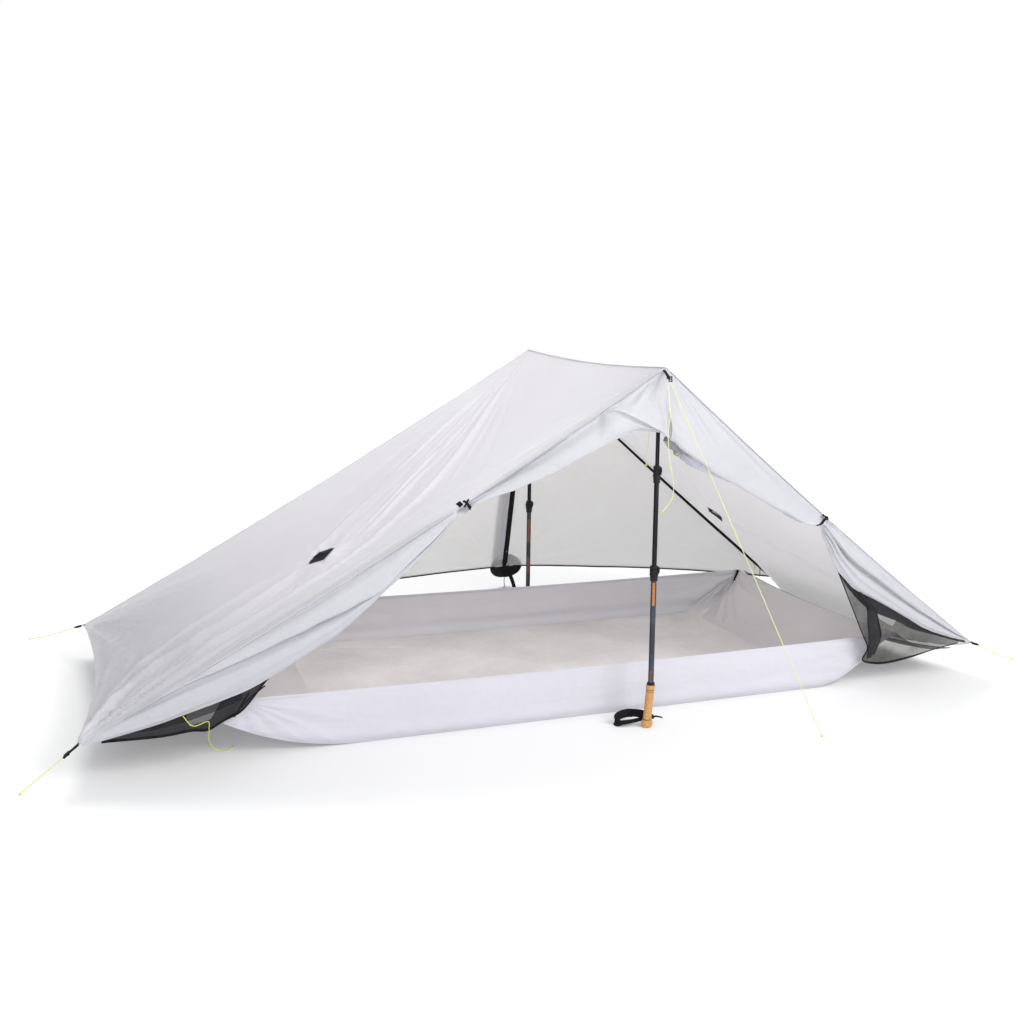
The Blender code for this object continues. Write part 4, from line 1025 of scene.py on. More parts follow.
crease_l = by_x([tuple(TL + A(.006, -.010, -.014)), (-.5852, -.627, .7294), (-.6438, -.627, .6741), (-.7113, -.627, .6166), (-.7600, -.626, .5707),
                 (-.8084, -.626, .522), (-.8754, -.626, .4884), (-.9322, -.625, .4586), (-.9884, -.625, .437), (-1.0452, -.625, .4097), (-1.1, -.625, .3904),
                 (-1.1542, -.625, .3667), (-1.2258, -.625, .3403), (-1.297, -.624, .3139), (-1.3684, -.622, .285), (-1.4687, -.619, .2369),
                 (-1.5749, -.614, .1850), (-1.657, -.610, .140)], 400)
low_l = by_x([tuple(TL + A(.006, -.012, -.026)), (-.5921, -.618, .7085), (-.6508, -.618, .6424), (-.7092, -.618, .5874), (-.7776, -.618, .5334),
              (-.855, -.618, .4654), (-.9407, -.618, .3941), (-1.0068, -.618, .3557), (-1.1003, -.618, .3016), (-1.1921, -.618, .2561),
              (-1.2811, -.618, .2244), (-1.3691, -.618, .1963), (-1.4559, -.617, .1697), (-1.5909, -.613, .1399), (-1.657, -.609, .126)], 400)
crease_r = by_x([(.7475, -.618, .6560), (.790, -.617, .610), (.887, -.615, .516), (1.026, -.615, .422), (1.147, -.615, .343), (1.271, -.613, .269),
                 (1.400, -.610, .197), (1.494, -.604, .150)])
low_r = by_x([(.7475, -.615, .6382), (.7749, -.613, .5924), (.8061, -.612, .5459), (.8344, -.612, .4930), (.8746, -.611, .4490), (.9270, -.610, .4010), (1.009, -.61, .358),
              (1.127, -.610, .297), (1.275, -.609, .222), (1.389, -.607, .179), (1.470, -.604, .155), (1.494, -.602, .143)])


def upper_right():
    n = 170
    w = np.linspace(0, 1, n)
    S = near_r(TOG_R * w) + SHIFT
    E = curve([GABLE, (.121, -.682, .950), (.150, -.681, .927), (.236, -.677, .873), (.27, -.673, .848), (.373, -.665, .798),
               (.508, -.656, .728), (.596, -.649, .685), (.674, -.642, .651), (.722, -.637, .648), TR + A(-.010, -.014, -.022)])(w)
    span = np.clip(np.linalg.norm(S - E, axis=1) / .12, 0, 1)[:, None]
    pin = np.clip((1 - w) / .12, 0.12, 1)[:, None]
    O, B = OUT_N, -OUT_N
    f = lambda k: S * (1 - k) + E * k
    top = ease(w, 0, .12)[:, None]
    C = np.stack([
        S, f(.12) + O * .003 * span, f(.32) + O * .010 * span * top, f(.58) + O * .016 * span * top, f(.82) + O * .015 * span, f(.95) + O * .010 * span,
        E + O * .004 * span, E + B * .001 - UP * .0015, E + B * .0050 + UP * .003, f(.90) + B * .0055 * pin, f(.74) + B * .004 * pin,
        *tucked(S, E, .16, .93, .0075, .0030, 5, pin),
    ], 1)
    P = loft(C, 240)
    W, Q = np.meshgrid(w, np.linspace(0, 1, 240), indexing="ij")
    N = normals(P)
    N = N * np.sign(N[80, 40] @ OUT_N)
    d = np.linalg.norm(P - (TR + A(0, -.010, -.012)), axis=2)
    ang = np.arctan2(P[..., 2] - TR[2], P[..., 0] - TR[0])
    h = .0058 * (1 - 2 * np.abs(noise(ang * 9 + 3, d * 3, 301))) * (d / (d + .05)) * np.exp(-(d / .20) ** 2)
    rp = np.linalg.norm(P - NP, axis=2)
    ap = np.arctan2(P[..., 2] - NP[2] + 1e-6, P[..., 0] - NP[0])
    h = h + .0062 * (1 - 2 * np.abs(noise(ap * 8 + 5, rp * 3, 304))) * (rp / (rp + .05)) * np.exp(-(rp / .34) ** 2)
    X, Y = W, Q
    h = h + fold(X, Y, [(.02, .02), (.18, .05), (.42, .08), (.70, .12)], .018, .022, .0075, .0040, crisp=.5)
    h = h + fold(X, Y, [(.12, .30), (.30, .22), (.55, .20), (.80, .24)], .030, .020, .0018, .0018)
    h = h + .0016 * fbm(P[..., 0] * 9, P[..., 2] * 9, 309, 3) + .0011 * (creased(P[..., 0] * 20, P[..., 2] * 22, 314) - .35)
    return P + N * (h * ease(Q, 0, .03))[..., None]


def two_grids(name, grids, mat):
    vs, fs, uv, k = [], [], [], 0
    for P in grids:
        nu, nv = P.shape[:2]
        vs.append(P.reshape(-1, 3))
        fs += [tuple(q + k) for q in quads(nu, nv)]
        uv.append(metric(P).reshape(-1, 2))
        k += nu * nv
    return add_mesh(name, np.concatenate(vs), fs, np.concatenate(uv), mat)


G_UL, G_LL = upper_left(), lower(-1, near_l, TOG_L, TL, NL, crease_l, low_l, (.0165, .0110), 220)
G_UR, G_LR = upper_right(), lower(1, near_r, TOG_R, TR, NR, crease_r, low_r, (.0120, .0080), 320)
DOOR_L = two_grids("near_door_left", [G_UL, G_LL], M_DOOR)
DOOR_R = two_grids("near_door_right", [G_UR, G_LR], M_DOOR)
declare(DOOR_L, (1.14, 2.03), ["near_left_door"], area=1.10)
declare(DOOR_R, (1.14, 1.75), ["near_right_door"], area=0.96)


# ============================================================================
# Far vestibule, zipped shut
# ============================================================================
ZIP_TOP = FP + A(0, .004, -.012)
ZIP_DIR = (VEST - ZIP_TOP) / np.linalg.norm(VEST - ZIP_TOP)
ZIP_LEN = float(np.linalg.norm(VEST - ZIP_TOP))
ACROSS = unit(A(1, 0, 0) - ZIP_DIR * ZIP_DIR[0])
DOOR_N = unit(np.cross(ZIP_DIR, A(1, 0, 0)))
if DOOR_N[1] > 0:
    DOOR_N = -DOOR_N                                     # into the tent


def far_half(seam, side, seed):
    nu, nv = 170, 130
    U, V = grid(nu, nv)
    t = .018 + .982 * U
    a = seam(t) + A(0, .003, -.004)
    b = lerp(ZIP_TOP, VEST, t) + ACROSS * side * .0100 - DOOR_N * .0022
    v = V[..., None]
    P = a * (1 - v) + b * v
    P[..., 2] += .022 * 4 * V * (1 - V) * U ** 3
    P[..., 1] -= .020 * 4 * V * (1 - V) * U
    N = normals(P)
    N = N * np.sign(N[80, 60] @ DOOR_N)                  # normals look inwards
    wide = np.linalg.norm(a - b, axis=2)
    X, Y = U * 1.25, V * wide
    Yz = (1 - V) * wide                                  # distance from the zipper
    h = fan(X, Yz, (1.25, 0.0), seed, 24, .0038, .75, .10)
    h = h + fan(X, Y, (0.0, 0.0), seed + 3, 26, .0024, .55, .15)
    h = h + fan(X, Y, (1.25, 0.0), seed + 5, 24, .0030, .5, .10)
    h = h + .0016 * np.exp(-(Yz / .045) ** 2) * (creased(X * 17, Yz * 9, seed + 7) - .3)
    h = h + .0022 * fbm(X * 2.4, Yz * 2.2, seed + 9, 3) + .0006 * fbm(X * 13, Yz * 11, seed + 11, 3)
    h = h + .0010 * (creased(X * 8, Yz * 8, seed + 13) - .35)
    P = P + N * (h * ease(V, 0, .04) * ease(1 - V, 0, .02))[..., None]
    sg = np.sign(normals(P)[80, 60] @ -DOOR_N)
    return (turned_under(P, .012) if sg > 0 else turned_under(P[:, ::-1], .012)[:, ::-1]), P[-1]


G_FL, HEM_FL = far_half(far_l, -1, 401)
G_FR, HEM_FR = far_half(far_r, 1, 431)
FAR_L, FAR_R = sheet("far_door_left", G_FL, M_FAR), sheet("far_door_right", G_FR, M_FAR)
declare(FAR_L, (1.25, 2.02), ["far_left_door"], area=1.28)
declare(FAR_R, (1.25, 1.68), ["far_right_door"], area=.90)
for tag, hem in (("left", HEM_FL), ("right", HEM_FR)):
    q = smooth(hem[::6], 110)
    ribbon("far_hem_binding_" + tag, q + DOOR_N * .0050 + A(0, 0, .0020), DOOR_N, .0072, .0022, M_BIND)

# zipper: tape, coil, storm flap and slider
zt = np.linspace(.035, .985, 130)
zp = lerp(ZIP_TOP, VEST, zt)
zw = .0270 * (0.62 + .38 * ease(zt, 0, .8))
tape = ribbon("far_zipper", zp + DOOR_N * .0002, DOOR_N, zw, .0013, M_BIND)
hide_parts("far_zipper_tape")
zc = lerp(ZIP_TOP, VEST, np.linspace(.037, .983, 560))
k_ = np.arange(560)
coil = tube("far_zipper_coil", zc + DOOR_N * .0016 + ACROSS * (np.where(k_ % 2 == 0, 1, -1) * .0007)[:, None], .00135, M_PLASTIC, sides=6)


def storm_flap():
    n, m = 220, 22
    U, V = grid(n, m)
    t = .06 + .90 * U
    w = .052 * ease(U, -.10, .55) + .012
    base = lerp(ZIP_TOP, VEST, t) - ACROSS * (.0085 + .0045 * ease(t, 0, .8))[..., None] + DOOR_N * .0012
    P = base - ACROSS * (V * w)[..., None] + DOOR_N * (.0020 * np.sin(V * math.pi) + .0008)[..., None]
    h = .0026 * (creased(U * 44, V * 2.2, 455) - .35) * np.sin(V * math.pi * .9 + .2) + .0015 * noise(U * 22, V * 2, 459)
    return P + DOOR_N * h[..., None]


flap = slab("far_storm_flap", storm_flap(), .0008, M_DOOR)
declare(flap, (.06, 1.10), area=.052)


def zip_slider(name, at, M, body, big=1.0, pull=True, mat=None):
    b, stuff = big, mat or M_PLASTIC
    parts = [chunk(name + "_a", (.0105 * b, .0030 * b, .0140 * b), M @ Matrix.Translation((0, -.0014 * b, 0)), stuff, body, .0011 * b,
                   shape=lambda v: (v.x * (1.0 if v.z > 0 else .72), v.y, v.z)),
             chunk(name + "_b", (.0105 * b, .0026 * b, .0140 * b), M @ Matrix.Translation((0, .0020 * b, 0)), stuff, body, .0010 * b,
                   shape=lambda v: (v.x * (1.0 if v.z > 0 else .72), v.y, v.z)),
             tube(name + "_c", [(0, .0030 * b, .0045 * b), (0, .0052 * b, .0030 * b), (0, .0056 * b, 0), (0, .0052 * b, -.0030 * b), (0, .0030 * b, -.0045 * b)],
                  .0009 * b, M_STEEL, body, 8, M)]
    if pull:
        parts.append(ribbon(name + "_d", smooth([(0, .0046 * b, -.0030 * b), (.001, .0062 * b, -.010 * b), (.002, .0056 * b, -.020 * b), (.0015, .0050 * b, -.030 * b)], 16),
                            A(0, 1, 0), .0034 * b, .0011 * b, M_WEB, body, 8, M))
    return joined(name, parts, body)


SL = (ZIP_TOP + ZIP_DIR * (ZIP_LEN - .105) + DOOR_N * .0046)
MS = Matrix.Translation(Vector(SL)) @ Matrix((Vector(ACROSS), Vector(np.cross(-ZIP_DIR, ACROSS)), Vector(-ZIP_DIR))).transposed().to_4x4()
if Vector(np.cross(-ZIP_DIR, ACROSS)).dot(Vector(DOOR_N)) < 0:
    MS = MS @ Matrix.Rotation(math.pi, 4, 'Z')
slider = zip_slider("zip_slider", None, MS, NODES["far_zipper_slider"]["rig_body"])
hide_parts("far_zipper_slider")


def hem_disc():
    n = 46
    P = np.zeros((14, n, 3))
    for i in range(14):
        r = .080 * (i + .02) / 13
        a = np.linspace(0, 2 * math.pi, n)
        x, b = r * np.cos(a), r * np.sin(a)
        p = VEST + x[:, None] * A(1, 0, 0) + b[:, None] * ZIP_DIR - DOOR_N * .0085
        p[:, 1] -= np.where(x < 0, .30, .44) * np.sqrt(x * x + 1e-6)
        P[i] = p
    rr = np.linspace(0, .080, 14)[:, None]
    h = .0012 * noise(P[..., 0] * 60, P[..., 2] * 60, 471) * (rr > .004)
    return P - DOOR_N * h[..., None]


hp = slab("far_hem_disc", hem_disc(), .0015, M_WEB)
declare(hp, (.16, .16), ["far_hem_patch"], area=.0201)
ring = hem_disc()[-2]
st = ribbon("far_hem_disc_stitch", ring + DOOR_N * .0012, DOOR_N, .0011, .0006, M_BIND, sides=6)

wt, wl = A(.262, 1.126, .074), A(.284, 1.118, .004)
wp = smooth([wt + A(-.016, .006, .045), wt + A(-.007, .002, .020), wt, lerp(wt, wl, .5) + A(.001, -.004, 0), wl + A(0, 0, .0015)], 40)
w1 = ribbon("far_stake_webbing_a", wp, A(.1, -1, -.2), .0195, .0019, M_WEB)
w2 = ribbon("far_stake_webbing_b", smooth([wt + A(-.020, .004, .040), wt + A(-.026, .000, .010), wt + A(-.032, -.004, -.030), wt + A(-.030, -.006, -.052), wt + A(-.034, -.005, -.0695)], 30),
            A(.1, -1, -.2), .0034, .0016, M_WEB)
w3 = joined("far_stake_strap", [w1, w2])
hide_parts("far_stake_webbing")


# ============================================================================
# Bathtub floor
# ============================================================================
def lift(s):
    return np.maximum(0, (np.abs(s) - .78) / .22) ** 1.5


def rise(a, b):
    start = np.where((b < 0) & (a < 0), .65, .78)
    power = np.where(b < 0, np.where(a < 0, 2.2, 2.0), 1.5)
    return np.clip((np.abs(a) - start) / (1 - start), 0, 1) ** power


def tub(a, b):
    """The floor from edge to edge; its pulled corners rise."""
    c = .9275 + np.where(b < 0, np.where(a < 0, .3370, .1725), .2225)
    z = np.where(b < 0, np.where(a < 0, .112, .125), .060)
    return np.stack([a * (.9275 + (c - .9275) * lift(b)), b * (.5165 + .002 * lift(a)), .0018 + z * rise(a, b) * lift(b)], -1)


def two_sided(name, P, thick, outer, inner, flip):
    ob = slab(name, P, thick, [outer, inner])
    n = (P.shape[0] - 1) * (P.shape[1] - 1)
    idx = np.zeros(len(ob.data.polygons), np.int32)
    idx[(0 if flip else n):(n if flip else 2 * n)] = 1
    ob.data.polygons.foreach_set("material_index", idx)
    return ob


def wall(kind, side, n, m, seed):
    U, V = grid(n, m)
    s = 2 * U - 1
    if kind == "long":
        low = tub(s, np.full_like(s, float(side)))
        high = np.stack([(1.205 - (.022 * ease(s, .6, 1) if side > 0 else 0)) * s, np.full_like(s, side * .5225), .176 + .010 * s * s], -1)
        X = s * 1.2
        out = A(0, side, 0)
    else:
        low = tub(np.full_like(s, float(side)), s)
        high = np.stack([side * (1.205 - .022 * (1 - s * s) - (.022 * ease(s, 0, 1) if side > 0 else 0)), .5225 * s, .170 + .016 * s * s], -1)
        X = s * .52
        out = A(side, 0, 0)
    v = V[..., None]
    P = low * (1 - v) + high * v
    calm = 1 - np.maximum(lift(s), rise(s, side + 0 * s)) if kind == "long" else 1 - lift(s)
    P = P + out * ((.007 * np.sin(math.pi * V) + .010 * np.exp(-((V - .16) / .14) ** 2) * ease(V, 0, .08)) * np.clip(calm, 0, 1))[..., None]
    N = normals(P)
    N = N * np.sign(N[n // 2, m // 2] @ out)
    Y = V * .18
    e = X.max()
    deep = .0090 if side > 0 else .0045
    h = fan(X, Y, (-e, .150), seed, 20, deep, .42, .06) + fan(X, Y, (e, .150), seed + 2, 20, deep, .42, .06)
    h = h + fan(X, Y, (-e, .0), seed + 4, 16, .0035, .30, .05) + fan(X, Y, (e, .0), seed + 6, 16, .0035, .30, .05)
    h = h + .0030 * fbm(X * 2.6, Y * 13, seed + 8, 3) + .0008 * fbm(X * 14, Y * 22, seed + 9, 3)
    h = h + .0014 * (creased(X * 5, Y * 26, seed + 10) - .35)
    h = h * ease(1 - V, 0, .05) * ease(V, 0, .12) * ease(U, 0, .02) * ease(1 - U, 0, .02)
    P = P + N * h[..., None]
    # doubled hem along the top
    d = (1 - V) * .18
    P = P + N * (.0007 * (1 - ease(d, .011, .013)))[..., None]
    P[..., 2] = np.maximum(P[..., 2], .0016)
    flip = (normals(P)[n // 2, m // 2] @ out) < 0
    return P, flip


for tag, kind, side, n, seed, flat in (("near", "long", -1, 320, 501, (.19, 2.42)), ("far", "long", 1, 320, 531, (.19, 2.42)),
                                       ("left", "end", -1, 160, 561, (.31, 1.06)), ("right", "end", 1, 160, 591, (.31, 1.06))):
    P, flip = wall(kind, side, n, 46, seed)
    # the plate's top side carries index 0: the long walls' inside takes a paler copy of the wall fabric, painted light
    # that lifts its shaded face; the end walls' inside takes the inner end fabric
    ob = two_sided("tub_wall_" + tag, P, .0010, M_WALL, M_WALL_INSIDE_PAINTED_LIGHT if kind == "long" else M_END_IN, flip)
    declare(ob, flat, ["bathtub_%s_wall" % tag])
    top = P[:, -1]
    ribbon("tub_hem_" + tag, top[::2] + A(0, 0, -.0052), (A(0, side, 0) if kind == "long" else A(side, 0, 0)), .0105, .0026, M_HEM)


def tub_floor():
    n, m = 300, 170
    U, V = grid(n, m)
    a, b = 2 * U - 1, 2 * V - 1
    P = tub(a, b)
    X, Y = a * .93, b * .5165
    h = .0052 * (fbm(X * 3.1, Y * 3.4, 601, 4) + .25) + .0042 * (creased(X * 3.4, Y * 4.2, 607, 3) - .3)
    for k, (cx, cy) in enumerate(((.93, .5165), (-.93, .5165), (-.93, -.5165), (.93, -.5165))):
        h = h + fan(X, Y, (cx, cy), 611 + 3 * k, 26, .0085, .34, .05)
    h = h * ease(1 - np.abs(a), 0, .05) * ease(1 - np.abs(b), 0, .06)
    P[..., 2] = np.maximum(P[..., 2] + np.maximum(h, -.0002), .0016)
    return P


FLOOR = two_sided("tub_floor", tub_floor(), .0008, M_END_IN, M_FLOOR, True)
declare(FLOOR, (1.05, 1.90), ["bathtub_floor"])
# felled seam along the foot of each wall, inside
s_ = np.linspace(-.985, .985, 150)
for tag, q, up in (("near", tub(s_, -1 + 0 * s_), OUT_F), ("far", tub(s_, 1 + 0 * s_), OUT_N)):
    ribbon("tub_seam_" + tag, q + up * .0050 + A(0, 0, .0035), unit(up + UP), .0075, .0018, M_WALL_INSIDE_PAINTED_LIGHT)

strip = ribbon("tub_corner_strip", smooth([(1.1740, .5140, .1850), (1.1650, .5130, .1560), (1.1550, .5115, .1270), (1.1425, .5090, .0930)], 40), A(0, -1, 0), .0150, .0019, M_WEB)
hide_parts("bathtub_corner_strip")


# ============================================================================
# Netting
# ============================================================================
def net_sheet(name, rows, n, m, seed, mats, pick=None, amp=.0024, body=SHELTER):
    """Netting between curves given one under another."""
    fs = [curve(r) if not callable(r) else r for r in rows]
    u = np.linspace(0, 1, n)
    C = np.stack([f(u) for f in fs], 1)
    P = loft(C, m)
    N = normals(P)
    U, V = np.meshgrid(u, np.linspace(0, 1, m), indexing="ij")
    ln = float(np.linalg.norm(np.diff(P[:, m // 2], axis=0), axis=1).sum())
    wd = float(np.linalg.norm(np.diff(P[n // 2], axis=0), axis=1).sum())
    h = amp * fbm(U * ln * 9, V * wd * 9, seed, 3) + amp * .8 * (creased(U * ln * 12, V * wd * 12, seed + 4) - .35)
    P = P + N * (h * ease(V, 0, .06) * ease(1 - V, 0, .06) * ease(U, 0, .04) * ease(1 - U, 0, .04))[..., None]
    ob = sheet(name, P, mats, body)
    if pick is not None:
        c = (P[:-1, :-1] + P[1:, 1:]) / 2
        ob.data.polygons.foreach_set("material_index", pick(c).reshape(-1).astype(np.int32))
    return ob, P


def seam_span(seam, t0, t1, off):
    return lambda u: seam(t0 + (t1 - t0) * np.asarray(u)) + off


NET_L_LOW = [(-.615, -.592, .708), (-.800, -.586, .532), (-.990, -.584, .388), (-1.090, -.588, .309), (-1.143, -.590, .262), (-1.194, -.571, .189),
             (-1.223, -.562, .158), (-1.268, -.560, .138), (-1.312, -.568, .119), (-1.359, -.574, .124), (-1.447, -.584, .121), (-1.600, -.597, .129)]


def within(c, q):
    """1 inside a convex outline in x and z, taken clockwise."""
    x, z = c[..., 0], c[..., 2]
    inside = np.ones(x.shape, bool)
    for k in range(len(q)):
        (x0, z0), (x1, z1) = q[k], q[(k + 1) % len(q)]
        inside &= (x1 - x0) * (z - z0) - (z1 - z0) * (x - x0) <= 0
    return inside.astype(float)


def pick_left(c):
    """Single netting between the doubled part and the seam."""
    return within(c, [(-1.380, .206), (-1.262, .221), (-1.303, .151), (-1.362, .140)])


net_l, PNL = net_sheet("net_near_left", [seam_span(near_l, .40, .970, A(0, .014, -.014)), [(-.615, -.594, .722), (-.90, -.590, .505), (-1.17, -.584, .345), (-1.38, -.588, .225), (-1.605, -.596, .142)], NET_L_LOW],
                       460, 130, 701, [M_NET_DENSE, M_NET_OPEN], pick_left)
declare(net_l, (.22, 1.25), ["mesh_near_left"], area=.13)
low_ = smooth(NET_L_LOW, 220)
ribbon("net_binding_left", low_ + A(0, -.001, .001), unit(A(.2, -1, 0)), .0050 + .0035 * ease(-low_[:, 0], 1.15, 1.32), .0018, M_BIND)
ribbon("net_tape_left", smooth([(-1.196, -.602, .232), (-1.212, -.596, .205), (-1.222, -.584, .180), (-1.238, -.568, .150)], 30), A(0, -1, .1), .0065, .0014, M_BIND)
ribbon("net_edge_left", smooth([(-1.150, -.599, .248), (-1.185, -.590, .218), (-1.205, -.580, .195), (-1.226, -.570, .168), (-1.262, -.566, .146)], 40), A(0, -1, .1), .0040, .0012, M_BIND)

NET_R_LOW = [(.782, -.590, .640), (.853, -.583, .485), (.900, -.582, .396), (.950, -.580, .306), (1.004, -.574, .213), (1.046, -.560, .150),
             (1.040, -.545, .101), (1.090, -.541, .082), (1.163, -.542, .078), (1.263, -.555, .096), (1.359, -.570, .122), (1.446, -.588, .143)]


def pick_right(c):
    """A bare three-cornered gap between the net's fold and its band, where the cloth behind shows."""
    return within(c, [(1.0372, .2951), (1.1493, .2530), (1.1405, .2300), (1.0760, .2640)])


net_r, PNR = net_sheet("net_near_right", [seam_span(near_r, .487, .965, A(0, .014, -.014)), [(.765, -.596, .655), (.90, -.592, .480), (1.02, -.588, .350), (1.13, -.580, .270), (1.28, -.585, .205), (1.446, -.594, .152)], NET_R_LOW],
                       300, 110, 721, [M_NET_FACE, M_NET_THIN], pick_right)
declare(net_r, (.25, .95), ["mesh_near_right"], area=.14)
low_ = smooth(NET_R_LOW, 200)
ribbon("net_binding_right", low_ + A(0, -.001, .001), unit(A(-.1, -1, 0)), .0038 + .0052 * ease(low_[:, 0], 1.00, 1.10) * (1 - ease(low_[:, 0], 1.20, 1.36)), .0018, M_BIND)
# loose double fold of the netting door's edge, hanging down to the tub's corner
net_s, _ = net_sheet("net_fold_right", [[(.850, -.600, .500), (.900, -.602, .428), (.950, -.603, .366), (.990, -.602, .322), (1.004, -.598, .262), (1.022, -.590, .196), (1.038, -.572, .120)],
                                        [(.852, -.604, .500), (.916, -.608, .428), (.972, -.610, .360), (1.014, -.610, .310), (1.030, -.606, .264), (1.050, -.596, .200), (1.050, -.574, .116)],
                                        [(.854, -.600, .500), (.930, -.602, .424), (.992, -.603, .352), (1.030, -.602, .304), (1.050, -.598, .266), (1.074, -.590, .205), (1.068, -.570, .128)]],
                     110, 24, 741, [M_NET_DENSE], amp=.0040)
declare(net_s, (.05, .46), area=.016)
for k, pts in enumerate(([(.848, -.601, .502), (.900, -.604, .426), (.950, -.605, .364), (.990, -.604, .320), (1.004, -.600, .260), (1.022, -.592, .194), (1.040, -.572, .112)],
                         [(.972, -.606, .372), (1.030, -.605, .303), (1.050, -.601, .264), (1.074, -.593, .203), (1.068, -.572, .126)])):
    ribbon("net_fold_edge_%d" % k, smooth(pts, 60), A(.1, -1, 0), .0052, .0014, M_BIND)
# doubled band of netting under the white hem
net_b, _ = net_sheet("net_band_right", [lambda u: low_r(.855 + (1.470 - .855) * np.asarray(u)) + A(0, .006, .010),
                                        [(.855, -.596, .462), (.905, -.597, .398), (.950, -.598, .354), (.995, -.600, .318), (1.033, -.598, .298), (1.135, -.596, .258), (1.218, -.596, .219),
                                         (1.295, -.596, .196), (1.425, -.598, .157), (1.470, -.600, .146)]],
                     130, 22, 751, [M_NET_DENSE], amp=.0024)
declare(net_b, (.05, .80), area=.024)


def end_net(side, near_c, far_c, seed, name, node, flat):
    n, m = 120, 70
    U, V = grid(n, m)
    y = -.5225 + 1.045 * U
    k = (y - near_c[1]) / (far_c[1] - near_c[1])
    outer = lerp(near_c, far_c, k)
    outer = outer + (-side * (.045 * 4 * k * (1 - k) + .010))[..., None] * A(1, 0, 0) + A(0, 0, -.010)
    if side > 0:
        outer[..., 2] -= DROP_R * droop(k)
    inner = np.stack([side * (1.205 - .022 * (1 - (2 * U - 1) ** 2) + .002) + 0 * y, y, .1700 + .014 * (2 * U - 1) ** 2], -1)
    v = V[..., None]
    P = inner * (1 - v) + outer * v
    P[..., 2] -= .030 * np.sin(math.pi * V)
    X, Y = U * 1.04, V * .35
    h = .0040 * fbm(X * 4, Y * 5, seed, 3) + .0030 * (creased(X * 7, Y * 7, seed + 3) - .35)
    P[..., 2] += h * ease(V, 0, .06) * ease(1 - V, 0, .06)
    ob = sheet(name, P, M_NET)
    declare(ob, flat, [node])
    e = P[:, -1]
    ribbon("net_end_binding_%s" % ("left" if side < 0 else "right"), e[::2], UP, .010, .0016, M_BIND)
    return P


end_net(-1, NL, FL, 761, "net_left_end", "mesh_left_end", (.42, 1.06))
end_net(1, NR, FR, 771, "net_right_end", "mesh_right_end", (.26, 1.06))


# the netting door, rolled up loosely under the right swag
def roll():
    path = smooth([(.1085, -.6490, .9595), (.1425, -.6485, .9317), (.1890, -.6475, .8985), (.2600, -.6450, .8600), (.3495, -.6405, .8243), (.448, -.634, .786),
                   (.560, -.626, .718), (.660, -.616, .665), (.738, -.604, .652)], 190)
    n, m = len(path), 64
    t = unit(np.gradient(path, axis=0))
    up = unit(np.cross(t, A(0, 1, 0)) * -1)
    side = np.cross(t, up)
    s = np.linspace(0, 1, n)
    a = np.linspace(0, 2 * math.pi, m)
    S, AA = np.meshgrid(s, a, indexing="ij")
    r = (.0108 + .0085 * (1 - ease(S, .12, .42))) * (1 + .16 * np.exp(-((S - .14) / .07) ** 2) + .12 * np.exp(-((S - .42) / .10) ** 2)) * (1 - .30 * ease(S, .80, 1)) * (.70 + .30 * ease(S, 0, .05))
    r = r * (1 - .24 * np.exp(-((S - .062) / .014) ** 2))
    lay = noise(AA * 10 / (2 * math.pi) + S * 7, S * 16, 781)
    wrap = noise((AA % (2 * math.pi)) * 3, S * 5 + 4, 783)
    r = r * (1 + .16 * (1 - 2 * np.abs(lay)) + .14 * wrap + .03 * fbm(AA * 9, S * 60, 787, 2))
    lap = ((AA / (2 * math.pi) + S * 1.3) % 1.0)
    r = r + .0016 * (lap ** 2)
    r[:, -1] = r[:, 0]
    P = path[:, None] + side[:, None] * (r * np.cos(AA))[..., None] + up[:, None] * (r * np.sin(AA) * .94)[..., None]
    vs = P[:, :-1].reshape(-1, 3)
    k = m - 1
    f = [tuple(q) for q in quads(n, k, wrap_v=True)] + [tuple(range(k))[::-1], tuple((n - 1) * k + i for i in range(k))]
    L = np.r_[0, np.cumsum(np.linalg.norm(np.diff(path, axis=0), axis=1))]
    uv = np.stack([np.broadcast_to(L[:, None], (n, k)), np.broadcast_to(a[None, :-1] * .012, (n, k))], -1)
    return add_mesh("net_door_roll", vs, f, uv, M_ROLLED)


ROLL = roll()
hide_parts("mesh_door_roll")

# zipper of the far netting door
t_ = np.linspace(.075, .960, 180)
fz = far_r(t_) + A(0, -.010, -.020)
half_ = .0040 + .0030 * t_
fzr = ribbon("far_net_zipper", fz, unit(A(-.25, -1, -.15)), half_ * 2.1, .0015, M_BIND)
fzr2 = ribbon("far_net_zipper_teeth", fz + unit(A(-.25, -1, -.15)) * .0014, unit(A(-.25, -1, -.15)), half_ * .62, .0014, M_PLASTIC)
# its two sliders wait at the corner, one with an orange pull cord
for k_, t0_ in ((0, .905), (1, .930)):
    at_ = far_r(t0_) + A(-.004, -.016, -.024)
    Mz = place(tuple(at_), tuple(unit(far_r(t0_) - far_r(t0_ + .01))), (-.2, -1, 0))
    chunk("far_net_slider_%d" % k_, (.0130, .0095, .0050), Mz, M_PLASTIC, SHELTER, .0014)
    q_ = smooth([at_ + A(-.002, -.004, -.001), at_ + A(-.006, -.008, -.010 - .004 * k_), at_ + A(-.004, -.007, -.020 - .006 * k_), at_ + A(-.007, -.006, -.026 - .012 * k_)], 20)
    ob_ = tube("far_net_pull_%d" % k_, q_, .0017, M_PULL if k_ == 0 else M_ELASTIC, SHELTER, 8)
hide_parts("far_mesh_zipper")


